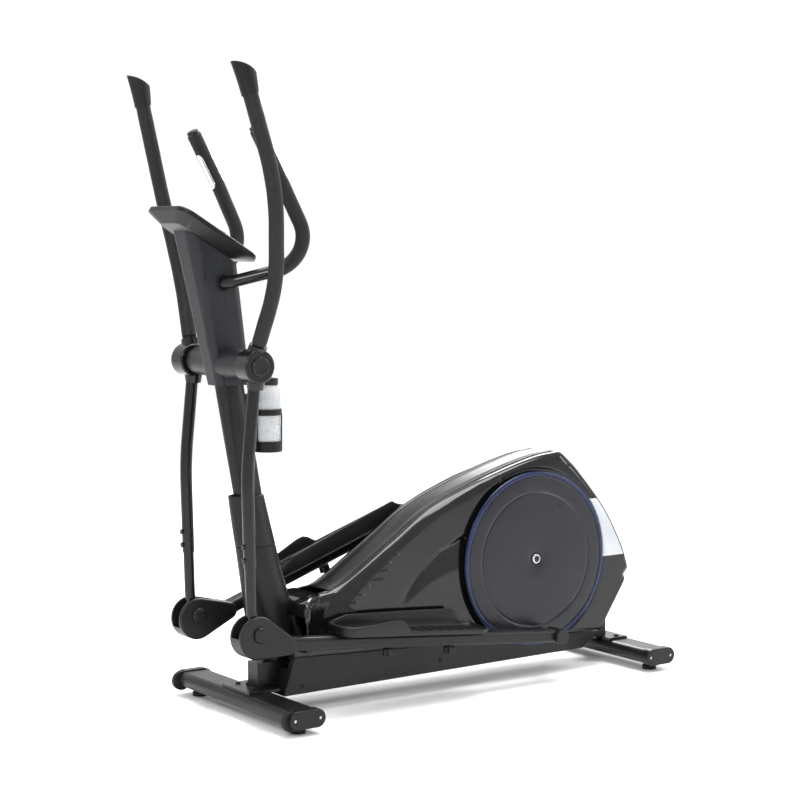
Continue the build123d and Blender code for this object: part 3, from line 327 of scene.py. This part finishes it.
def face_height(x, z):
    """How far the moulded side stands out from the middle plane at a place on it."""
    depth = edge_distance(x, z)
    y = FACE_Y
    if depth < 26:
        y -= 22 * (1 - math.sqrt(max(1 - ((26 - depth) / 26) ** 2, 0)))
    high = interpolate(UPPER_CREASE, x) if x > -437 else 214 - 3.1 * (-437 - x)
    low = interpolate(LOWER_CREASE, x) if x > -420 else 170
    if x < 157 and z > low:
        facet = min(max((z - low) / max(high - low, 1), 0), 1)
        y -= min(high - low, 34) * 0.30 * facet
    if -193 < x < 40:
        crest = interpolate(SICKLE_TOP, x)
        foot = interpolate(SICKLE_LOW, x)
        if foot < z < crest + 2.5:
            share = (z - foot) / max(crest - foot, 1)
            cut = 6.5 * min(max(share, 0), 1) * ease((x + 193) / 60)
            if z > crest:
                cut *= 1 - (z - crest) / 2.5
            y -= cut
    around = math.hypot(x - DISC_X, z - DISC_Z)
    if around < DISC_R + 12:
        y -= 3.2 * ease((DISC_R + 12 - around) / 5)
    return y


def side_shell(side_name):
    side = SIDES[side_name]
    columns = []
    x = -522.0
    while x < 637:
        columns.append(x)
        x += 2.2 if x < -495 or 340 < x < 400 or x > 600 else 4.0
    columns.append(637.4)
    rows = 112
    points, faces = [], []
    for x in columns:
        top = np.interp(x, TOP_RIM[:-6, 0], TOP_RIM[:-6, 1])
        base = interpolate(BOTTOM, x) if x < 624 else 258 + (x - 624) * 1.3
        high = min(interpolate(UPPER_CREASE, x), top - 2) if x > -437 else None
        low = min(interpolate(LOWER_CREASE, x), top - 3) if x > -420 else None
        levels = []
        if x > -395 and x < 157:
            levels += list(np.linspace(base, low, 62, endpoint=False))
            levels += list(np.linspace(low, high, 16, endpoint=False))
            levels += list(high + (top - high) * np.sin(np.linspace(0, math.pi / 2, rows - 78)))
        else:
            levels = list(base + (top - base) * np.sin(np.linspace(0, math.pi / 2, rows)))
        for z in levels:
            points.append(place(x, side * face_height(x, z), z))
        points.append(place(x, side * (STRIP_Y + 0.6), top - 0.1))
    count = rows + 1
    for c in range(len(columns) - 1):
        for r in range(count - 1):
            corner = points[c * count + r]
            reach = math.hypot(corner.x * 1000 - SHIFT - DISC_X, corner.z * 1000 - DISC_Z)
            if reach > 24:
                faces.append((c * count + r, (c + 1) * count + r, (c + 1) * count + r + 1, c * count + r + 1))
    shell = piece("shell_" + side_name, points, faces, "frame", "gloss_shell", ["side_shell_" + side_name])
    thick = shell.modifiers.new("wall", "SOLIDIFY")
    thick.thickness = 0.0025
    thick.offset = -1
    return shell


def nose_cover(side_name):
    """The rounded front of the housing, closed back to the boot."""
    side = SIDES[side_name]
    rows = 16
    points = []
    for x, z in [(-522, 152), (-522, 190), (-522, 230), *dense(NOSE, 5)]:
        for number in range(rows + 1):
            y = (FACE_Y - 22) * number / rows
            points.append(place(x, side * y, z))
    faces = grid_faces(len(points) // (rows + 1), rows + 1)
    return piece("nose_" + side_name, points, faces, "frame", "gloss_shell")


def ridge_cover():
    """Satin strip along the ridge: a low crown with a narrow gutter at each side."""
    section = [(-45, -1.4), (-44.2, 0.4), (-42, 1.2), (-39, 1.4), (-37, 0.2), (-36, 0.2), (-34, 1.4),
               (-22, 2.4), (0, 2.9), (22, 2.4), (34, 1.4), (36, 0.2), (37, 0.2), (39, 1.4), (42, 1.2),
               (44.2, 0.4), (45, -1.4)]
    line = [p for p in TOP if -395 < p[0] < 396]
    points = []
    for number, (x, z) in enumerate(line):
        before, after = line[max(number - 1, 0)], line[min(number + 1, len(line) - 1)]
        slope = math.atan2(after[1] - before[1], after[0] - before[0])
        near_end = min(1, (396 - x) / 14, (x + 395) / 14)
        for y, lift in section:
            rise = lift * max(near_end, 0) - 0.4
            points.append(place(x - math.sin(slope) * rise, y, z + math.cos(slope) * rise))
    faces = grid_faces(len(line), len(section))
    strip = piece("ridge_cover", points, faces, "frame", "dark_plastic", ["ridge_strip"])
    thick = strip.modifiers.new("wall", "SOLIDIFY")
    thick.thickness = 0.0025
    thick.offset = -1
    return strip


def louvre(side_name, number, x, z, length):
    """A hooded slot: the hood bulges out over a dark gap under it."""
    side = SIDES[side_name]
    columns, rows = 18, 6
    points = []
    for c in range(columns + 1):
        share = c / columns
        along = x + (share - 0.5) * length
        swell = math.sin(math.pi * share) ** 0.6
        for r in range(rows + 1):
            rise = r / rows
            height = z + (rise - 0.25) * 7.5 * swell
            out = face_height(along, height) + 2.6 * swell * (1 - rise) ** 0.8 - 0.2
            points.append(place(along, side * out, height))
        low = z - 0.25 * 7.5 * swell
        points.append(place(along, side * (face_height(along, low) - 2.0), low - 0.4))
    return piece(f"louvre_{side_name}_{number}", points, grid_faces(columns + 1, rows + 2), "frame",
                 "gloss_shell")


def ribbon(name, line, width, out, look, body="frame", slot="dark_plastic"):
    """A narrow strip lying on a side face: seams and grooves, drawn in the look given, which here is painted
    shade. line holds (x, y, z).
    """
    points = []
    for number, here in enumerate(line):
        here = Vector(here)
        ahead = Vector(line[min(number + 1, len(line) - 1)]) - Vector(line[max(number - 1, 0)])
        across = Vector((-ahead.z, 0, ahead.x)).normalized() * width / 2
        for share, lift in ((-1, 0), (-0.6, out), (0.6, out), (1, 0)):
            p = here + across * share
            points.append(place(p.x, p.y + math.copysign(lift, p.y), p.z))
    return piece(name, points, grid_faces(len(line), 4), body, slot, look=look)


for side_name in SIDES:
    side_shell(side_name)
    nose_cover(side_name)
    for number, (x, z, length) in enumerate(VENTS):
        louvre(side_name, number, x, z, length)
ridge_cover()


# ---------------------------------------------------------------- rear panels, set into the shells
def rear_panel(side_name):
    side = SIDES[side_name]
    rows, columns = 22, 12
    points = []
    for r in range(rows + 1):
        z = 322 + (494 - 322) * r / rows
        inner = DISC_X + math.sqrt((DISC_R + 9) ** 2 - (z - DISC_Z) ** 2)
        outer = float(np.interp(z, [p[1] for p in TOP[::-1] if p[0] > 400],
                                [p[0] for p in TOP[::-1] if p[0] > 400])) - 15
        for c in range(columns + 1):
            share = c / columns
            x = inner + (outer - inner) * share
            fold = inner + (outer - inner) * (0.55 + 0.18 * r / rows)
            lift = 1.1 - 0.9 * max(0.0, (x - fold) / max(outer - fold, 1))
            points.append(place(x, side * (face_height(x, z) + lift), z))
    panel = piece("rear_panel_" + side_name, points, grid_faces(rows + 1, columns + 1), "frame",
                  "silver_panel", ["rear_panels"])
    thick = panel.modifiers.new("wall", "SOLIDIFY")
    thick.thickness = 0.0022
    thick.offset = -1
    return panel


# ---------------------------------------------------------------- crank discs
def crank_disc(side_name):
    side = SIDES[side_name]
    centre = place(DISC_X, side * 89, DISC_Z)
    axis = (0, side, 0)
    face = 9.0
    profile = [(16, 5.0), (16, face - 0.8), (19, face), (60, face + 0.3), (120, face + 0.2),
               (184, face - 0.1),
               (188.5, face - 0.3), (189.6, face - 1.3), (191.2, face - 1.3), (192.3, face - 0.3),
               (197, face - 0.1), (230, face - 0.5), (233.6, face - 1.0), (234.6, face - 2.2),
               (234.8, 0.4), (233, 0.0), (228, 0.0)]
    lathe("disc_face_" + side_name, centre, axis, profile, "crank", "disc_plastic", ["crank_discs"],
          steps=160)
    rim = [(235.2, 0.6), (235.2, face - 1.4), (236.4, face - 0.5), (239, face - 0.1), (243, face - 0.1),
           (246.2, face - 0.8), (247.7, face - 2.6), (248, face - 5), (248, 1.6), (246.6, 0.2), (240, 0.0),
           (236, 0.2), (235.2, 0.6)]
    lathe("disc_rim_" + side_name, centre, axis, rim, "crank", "navy_ring", ["disc_rings"], steps=160)
    cap = [(15.6, face - 0.6), (15.6, face + 0.6), (14.8, face + 1.4), (12.8, face + 1.6), (11.6, face + 2.6),
           (9.5, face + 3.9), (6, face + 4.7), (2.5, face + 5.0), (0.01, face + 5.0)]
    lathe("disc_cap_" + side_name, centre, axis, cap, "crank", "hub_shell", steps=48)


for side_name in SIDES:
    rear_panel(side_name)
    crank_disc(side_name)


# ---------------------------------------------------------------- pedals
PEDAL_TILT = {"left": 5.08004, "right": -19.6224}
PEDAL_FROM = {"left": (-628.605, 211.897), "right": (-619.697, 239.421)}
TRAY_START, TRAY_END = 180, 657
TRAY_MIDDLE, TRAY_HALF = 161.5, 56.5
TRAY_LOW = 19
INNER_EDGE = [(-9, 26), (25, 30), (70, 45), (240, 51), (418, 55), (446, 22), (486, 17)]
OUTER_EDGE = [(-9, 26), (25, 26), (90, 33), (150, 43), (172, 43), (186, 35), (206, 14), (486, 13)]


def pedal_point(side_name, x, y, z):
    """A place in the tray's own frame: X along the pedal arm, Z square to it."""
    tilt = math.radians(PEDAL_TILT[side_name])
    from_x, from_z = PEDAL_FROM[side_name]
    return place(from_x + x * math.cos(tilt) + z * math.sin(tilt), y,
                 from_z - x * math.sin(tilt) + z * math.cos(tilt))


def tray_wall(x, across):
    """Wall height round the rim: high along the inside, a low hump at the toe outside."""
    outward = ease((across + 34) / 34)
    inside = interpolate(INNER_EDGE, x - TRAY_START)
    return inside + (interpolate(OUTER_EDGE, x - TRAY_START) - inside) * outward


def tray_outline():
    """The tray's rounded rectangle, evenly divided, about its own middle."""
    half_x, half_y, radius = (TRAY_END - TRAY_START) / 2, TRAY_HALF, 34
    corners = []
    for cx, cy, start in ((half_x - radius, half_y - radius, 0), (radius - half_x, half_y - radius, 90),
                          (radius - half_x, radius - half_y, 180), (half_x - radius, radius - half_y, 270)):
        for number in range(12):
            angle = math.radians(start + 90 * number / 11)
            corners.append((cx + radius * math.cos(angle), cy + radius * math.sin(angle)))
    line = []
    for (ax, ay), (bx, by) in zip(corners, corners[1:] + corners[:1]):
        parts = max(1, round(math.hypot(bx - ax, by - ay) / 6))
        line += [(ax + (bx - ax) * n / parts, ay + (by - ay) * n / parts) for n in range(parts)]
    return line


def drawn_in(line, inset):
    """The same outline moved inwards."""
    moved = []
    for number, (x, y) in enumerate(line):
        ax, ay = line[number - 1]
        bx, by = line[(number + 1) % len(line)]
        length = math.hypot(bx - ax, by - ay) or 1
        moved.append((x - (by - ay) / length * inset, y + (bx - ax) / length * inset))
    return moved


def pedal_tray(side_name):
    side = SIDES[side_name]
    middle_x = (TRAY_START + TRAY_END) / 2
    # Each ring round the wall: distance in from the outline, share of the wall's height, lift.
    rings = [(12, 0, 0), (5, 0, 0.6), (1.5, 0, 3), (0, 0.3, 0), (0, 0.86, 0), (0.2, 1.0, -1.2),
             (1.2, 1.0, 0.0), (3.4, 1.0, 0.4), (5.2, 1.0, -0.6), (5.9, 1.0, -2.4), (6.2, 0.5, 0),
             (6.4, 0.0, 11), (8, 0.0, 8.4), (11, 0.0, 7.6)]
    base = tray_outline()
    points = []
    for inset, share, lift in rings:
        for x, y in drawn_in(base, inset):
            height = TRAY_LOW + share * tray_wall(middle_x + x, y) + lift
            points.append(pedal_point(side_name, middle_x + x, side * (TRAY_MIDDLE + y), height))
    count = len(base)
    faces = grid_faces(len(rings), count, True)
    faces.append(tuple(range(count)))
    faces.append(tuple(range((len(rings) - 1) * count, len(rings) * count))[::-1])
    return piece("tray_" + side_name, points, faces, "pedal_" + side_name, "pedal_plastic",
                 ["pedal_tray_" + side_name])


def tread(side_name, number, x, bow):
    """A raised bar across the tray, bowed like a chevron, with a softened top."""
    side = SIDES[side_name]
    half = 42 if TRAY_START + 36 < x < TRAY_END - 40 else 30
    section = [(-4.5, 0), (-3.6, 2.2), (-2, 3.0), (2, 3.0), (3.6, 2.2), (4.5, 0)]
    points = []
    steps = 16
    for step in range(steps + 1):
        share = step / steps * 2 - 1
        taper = 1 - max(0, abs(share) - 0.9) * 6
        for along, lift in section:
            points.append(pedal_point(side_name, x + along * taper + bow * (1 - share ** 2),
                                      side * (TRAY_MIDDLE + half * share), TRAY_LOW + 7.4 + lift * taper))
    faces = grid_faces(steps + 1, len(section))
    faces += [tuple(range(len(section))), tuple(range(steps * len(section), (steps + 1) * len(section)))]
    return piece(f"tread_{side_name}_{number}", points, faces, "pedal_" + side_name, "pedal_plastic")


for side_name in SIDES:
    pedal_tray(side_name)
    for number in range(13):
        tread(side_name, number, TRAY_START + 34 + 33 * number, 7)


# ---------------------------------------------------------------- foam grips
def foam_sleeve(name, node, body, voxel, swell):
    """A foam sleeve: the plain solid softened, rounded at its ends and slightly uneven."""
    source = frame["nodes"][node]
    mesh = source.data.copy()
    made = bpy.data.objects.new(name, mesh)
    bpy.context.scene.collection.objects.link(made)
    mesh.materials.clear()
    mesh.materials.append(LOOKS["foam"])
    remesh = made.modifiers.new("remesh", "REMESH")
    remesh.mode = "VOXEL"
    remesh.voxel_size = voxel
    melt = made.modifiers.new("melt", "SMOOTH")
    melt.factor = 0.6
    melt.iterations = 6
    bpy.context.view_layer.update()
    done = bpy.data.meshes.new_from_object(made.evaluated_get(bpy.context.evaluated_depsgraph_get()))
    made.modifiers.clear()
    made.data = done
    done.update()
    lumps = [random.uniform(0, 6.28) for _ in range(6)]
    for vertex, normal in zip(done.vertices, [v.normal.copy() for v in done.vertices]):
        p = vertex.co
        uneven = math.sin(p.z * 90 + lumps[0]) + math.sin(p.z * 41 + p.x * 60 + lumps[1])
        vertex.co = p + normal * (swell + 0.00012 * uneven)
    done.polygons.foreach_set("use_smooth", [True] * len(done.polygons))
    done.materials.clear()
    done.materials.append(LOOKS["foam"])
    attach(made, body)
    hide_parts(node)
    return made


for side_name in SIDES:
    foam_sleeve("grip_foam_" + side_name, "arm_grip_" + side_name, "swing_" + side_name, 0.0022, 0.0003)
foam_sleeve("bar_foam", "bar_grips", "frame", 0.0022, 0.0003)


# ---------------------------------------------------------------- fixed bar details
BAR_LOW, BAR_END = Vector((-600, 161, 1380)), Vector((-677, 160, 1520))
BAR_MOUTH = (-706, 48, 1131)


def pulse_plate(side_name, number, facing):
    """A thin metal contact curved round the foam, on the front or the rear of the bar."""
    side = SIDES[side_name]
    along = (BAR_END - BAR_LOW).normalized()
    out = Vector((0, 1, 0)).cross(along).normalized() * facing
    points, rows, columns = [], 24, 14
    for r in range(rows + 1):
        share = r / rows
        middle_of = BAR_LOW + (BAR_END - BAR_LOW) * (0.02 + 0.62 * share)
        narrow = min(1, 0.55 + 4 * share, 0.55 + 4 * (1 - share))
        for c in range(columns + 1):
            angle = math.radians(46) * narrow * (c / columns * 2 - 1)
            lift = 19.9 - 0.9 * abs(c / columns * 2 - 1) ** 8
            p = middle_of + (out * math.cos(angle) + Vector((0, 1, 0)) * math.sin(angle)) * lift
            points.append(place(p.x, side * p.y, p.z))
    plate = piece(f"pulse_plate_{side_name}_{number}", points, grid_faces(rows + 1, columns + 1), "frame",
                  "chrome", ["pulse_plates"])
    thick = plate.modifiers.new("wall", "SOLIDIFY")
    thick.thickness = 0.0008
    return plate


for side_name, side in SIDES.items():
    pulse_plate(side_name, 1, 1)
    pulse_plate(side_name, 2, -1)
    along = Vector((BAR_END.x - BAR_LOW.x, side * (BAR_END.y - BAR_LOW.y), BAR_END.z - BAR_LOW.z))
    lathe("bar_plug_" + side_name, place(BAR_END.x, side * BAR_END.y, BAR_END.z), along,
          [(13.0, -5), (15.7, -0.2), (16.0, 0.6), (15.6, 2.4), (13.4, 3.7), (8, 4.5), (0.01, 4.8)], "frame",
          "dark_plastic", steps=48)
    lathe("bar_bush_" + side_name, place(BAR_MOUTH[0], side * BAR_MOUTH[1], BAR_MOUTH[2]), (0.12, side, 0.03),
          [(17.4, -3), (17.4, 1.2), (18.2, 2.4), (20.4, 2.6), (22.0, 1.6), (22.6, -0.6), (22.6, -3)], "frame",
          "soft_rubber", steps=64)


# ---------------------------------------------------------------- drinks bottle
BOTTLE_X, BOTTLE_LOW = -550, 692


def bottle_wobble(angle, radius, height):
    """Moulded finger grooves round the waist."""
    if 62 < height < 96:
        return 1 - 0.035 * math.sin((height - 62) / 34 * math.pi * 3) ** 2
    return 1


def bottle():
    centre = place(BOTTLE_X, 0, BOTTLE_LOW)
    body = [(0.01, 3), (12, 3.0), (24, 1.5), (29, 0.3), (32.5, 2.2), (33.8, 7), (33.9, 40), (33.9, 60)]
    body += [(33.7, 60 + 2 * n) for n in range(1, 19)]
    body += [(33.9, 98), (33.9, 130), (33.6, 146), (32.2, 155), (29.5, 162), (26.5, 167), (25.5, 169.5)]
    lathe("bottle_body", centre, (0, 0, 1), body, "bottle", "bottle_plastic", ["bottle"], steps=72,
          wobble=bottle_wobble)
    low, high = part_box("bottle_cap")
    top = (high.z - centre.z) * 1000
    start = (low.z - centre.z) * 1000 + 10
    cap = [(27.2, start + 0.5), (28.0, start + 2), (28.0, start + 16), (27.2, start + 18.5),
           (24, start + 20.5), (13, start + 23), (10.5, start + 24), (9.6, start + 26), (9.4, top - 8),
           (10.6, top - 7), (10.8, top - 3), (9.6, top - 0.6), (7, top - 0.1), (0.01, top - 0.1)]

    def ribs(angle, radius, height):
        if radius > 26.9 and start + 1 < height < start + 17.5:
            return 1 - 0.018 * max(0.0, math.sin(angle * 36))
        return 1
    lathe("bottle_lid", centre, (0, 0, 1), cap, "bottle", "dark_plastic", ["bottle_cap"], steps=144,
          wobble=ribs)


bottle()


# ---------------------------------------------------------------- skirt details
SKIRT_SEAMS = [[(-469, 148), (-514, 100), (-548, 58)], [(-286, 136), (-312, 95), (-342, 56)],
               [(456, 108), (430, 84), (405, 62)]]


def skirt_seams(side_name):
    """Shut lines and cable slots of the lower cover, as thin strips slightly proud of its face, in near-black
    that paints the shade inside the grooves and slots.
    """
    side = SIDES[side_name]
    y = side * (FACE_Y - 4 + 0.1)
    for number, line in enumerate(SKIRT_SEAMS):
        points = [(x, y, z) for x, _, z in smooth_path([(x, 0, z) for x, z in line], 8)]
        ribbon(f"skirt_seam_{side_name}_{number}", points, 2.4, 0.35, GROOVE_SHADE)
    for number, (x, z) in enumerate([(-453, 136), (-468, 112)]):
        ribbon(f"skirt_slot_{side_name}_{number}", [(x - 16, y, z - 0.6), (x, y, z), (x + 16, y, z + 0.6)],
               4.2, 0.4, GROOVE_SHADE)


def shut_line(side_name):
    """The gap between the upper shell and the skirt, with its rolled lip: a thin near-black strip that paints
    the shade in the gap.
    """
    side = SIDES[side_name]
    line = [(-520 + 1042 * n / 60, side * (FACE_Y - 3.2), 151.4 - 43.4 * n / 60) for n in range(61)]
    ribbon("shut_line_" + side_name, line, 3.0, 0.4, GROOVE_SHADE)


def screw(name, centre, axis, radius, body):
    """A pan head with a cross recess."""
    way = Vector(axis).normalized()
    side = way.orthogonal().normalized()
    other = way.cross(side)
    points, steps = [], 32
    profile = [(1.0, 0.0), (1.0, 0.25), (0.92, 0.42), (0.75, 0.52), (0.55, 0.56), (0.35, 0.56), (0.18, 0.56),
               (0.01, 0.56)]
    for share, height in profile:
        for number in range(steps):
            angle = 2 * math.pi * number / steps
            slot = abs(math.sin(2 * angle)) < 0.42 and share < 0.6
            drop = 0.34 if slot else 0.0
            out = side * math.cos(angle) + other * math.sin(angle)
            points.append(centre + (out * radius * share + way * radius * (height - drop)) / 1000)
    return piece(name, points, grid_faces(len(profile), steps, True), body, "steel",
                 look=LOOKS["frame_paint"])


for side_name in SIDES:
    side = SIDES[side_name]
    skirt_seams(side_name)
    shut_line(side_name)
    for number, (x, z) in enumerate([(-495, 70), (-47, 86), (400, 92)]):
        screw(f"skirt_screw_{side_name}_{number}", place(x, side * (FACE_Y - 4), z), (0, side, 0), 5, "frame")
    screw(f"brow_screw_{side_name}", place(402, side * (face_height(402, 598) - 0.3), 598), (0.25, side, 0.3),
          5.5, "frame")

# ---------------------------------------------------------------- shroud details
SHROUD_Z, SHROUD_HALF = (868, 1000, 1290), (37, 42, 54)


def shroud_y(z):
    return float(np.interp(z, SHROUD_Z, SHROUD_HALF))


for side_name in SIDES:
    side = SIDES[side_name]
    # Seams down the shroud: thin near-black strips that paint the shade in the seams.
    for number, (top_x, low_x) in enumerate([(-768, -752), (-711, -696)]):
        line = [(top_x + (low_x - top_x) * n / 12, side * (shroud_y(1225 - 21 * n) + 0.1), 1225 - 21 * n)
                for n in range(13)]
        ribbon(f"shroud_seam_{side_name}_{number}", line, 1.8, 0.3, GROOVE_SHADE)
    screw(f"shroud_screw_{side_name}", place(-761, side * shroud_y(1142), 1142), (0, side, 0), 4.5, "frame")

# ---------------------------------------------------------------- every CAD node that stays visible
SLOT_OF = {part["node"]: part["material_slot"] for part in frame["record"]["subparts"]}
BEVELS = {"main_frame": 0.8, "drive_brackets": 0.4, "front_stabiliser": 0.8, "rear_stabiliser": 0.8,
          "stabiliser_caps": 1.6, "levelling_feet": 0.8, "mast_boot": 1.2, "shroud_front": 1.6,
          "shroud_rear": 1.6, "console_back": 2.0, "console_bezel": 1.4, "console_screen": 0.4,
          "lower_covers": 1.2, "bottle_cage": 0.6, "crank_set": 0.8, "brake_bracket": 0.4,
          "hub_left": 1.0, "hub_right": 1.0, "pedal_arm_left": 1.2, "pedal_arm_right": 1.2,
          "pedal_shoe_left": 1.6, "pedal_shoe_right": 1.6, "arm_end_cap_left": 1.0,
          "arm_end_cap_right": 1.0, "transport_wheel_left": 0.8, "transport_wheel_right": 0.8,
          "lower_arm_left": 0.5, "lower_arm_right": 0.5, "pedal_hardware_left": 0.6,
          "pedal_hardware_right": 0.6, "drive_pulley": 0.5, "flywheel": 0.6, "pulse_plates": 0.3}

for node, item in frame["nodes"].items():
    item.data.materials.clear()
    item.data.materials.append(LOOKS[SLOT_OF[node]])
    item.data.polygons.foreach_set("material_index", [0] * len(item.data.polygons))
    item.data.polygons.foreach_set("use_smooth", [True] * len(item.data.polygons))
    if item.hide_render:
        continue
    weld = item.modifiers.new("weld", "WELD")
    weld.merge_threshold = 0.00002
    soften(item, BEVELS.get(node, 0.3))

# ---------------------------------------------------------------- floor, light and camera
floor_mesh = bpy.data.meshes.new("floor")
around = 96
edge = [(0.0, 0.0), (8.5, 0.0)] + [(8.5 + 3.5 * math.sin(a), 3.5 * (1 - math.cos(a)))
                                   for a in np.linspace(0.05, math.pi / 2, 24)] + [(12.0, 9.0)]
floor_points = [(r * math.cos(t), r * math.sin(t), z) for r, z in edge
                for t in np.linspace(0, 2 * math.pi, around, endpoint=False)]
floor_mesh.from_pydata(floor_points, [], grid_faces(len(edge), around, True))
floor_mesh.polygons.foreach_set("use_smooth", [True] * len(floor_mesh.polygons))
floor = bpy.data.objects.new("floor", floor_mesh)
bpy.context.scene.collection.objects.link(floor)
floor_mesh.materials.append(surface("pale_floor", (0.95, 0.95, 0.95), (0.97, 0.97, 0.97), 0.75, grain=30,
                                    bump=0.01, cloud=0.4, specular=0.1))

world = bpy.data.worlds.new("studio")
bpy.context.scene.world = world
world.use_nodes = True
world.node_tree.nodes["Background"].inputs["Color"].default_value = (1, 1, 1, 1)
world.node_tree.nodes["Background"].inputs["Strength"].default_value = 1.0


def soft_box(name, where, target, width, height, power):
    light = bpy.data.lights.new(name, "AREA")
    light.shape = "RECTANGLE"
    light.size, light.size_y = width, height
    light.energy = power
    lamp = bpy.data.objects.new(name, light)
    bpy.context.scene.collection.objects.link(lamp)
    lamp.location = where
    lamp.rotation_euler = (Vector(target) - Vector(where)).to_track_quat("-Z", "Y").to_euler()
    return lamp


soft_box("overhead", (0.3, 0.2, 4.2), (0, 0, 0.5), 3.2, 2.2, 240)
soft_box("key", (-3.6, -3.0, 3.0), (0, 0, 0.7), 1.2, 1.6, 90)
soft_box("rear", (2.8, 3.2, 2.8), (0, 0, 0.6), 1.6, 2.0, 110)
soft_box("rim", (3.6, -2.4, 1.8), (0.2, 0, 0.5), 0.7, 2.2, 45)
bpy.context.scene.view_settings.view_transform = "Standard"

camera = bpy.data.cameras.new("camera")
camera.lens, camera.sensor_width = 90.86, 36
view = bpy.data.objects.new("camera", camera)
bpy.context.scene.collection.objects.link(view)
view.location = (-3.179, -4.517, 1.260)
view.rotation_euler = (math.radians(85.246), 0, math.radians(-34.786))
camera.clip_end = 100
bpy.context.scene.camera = view
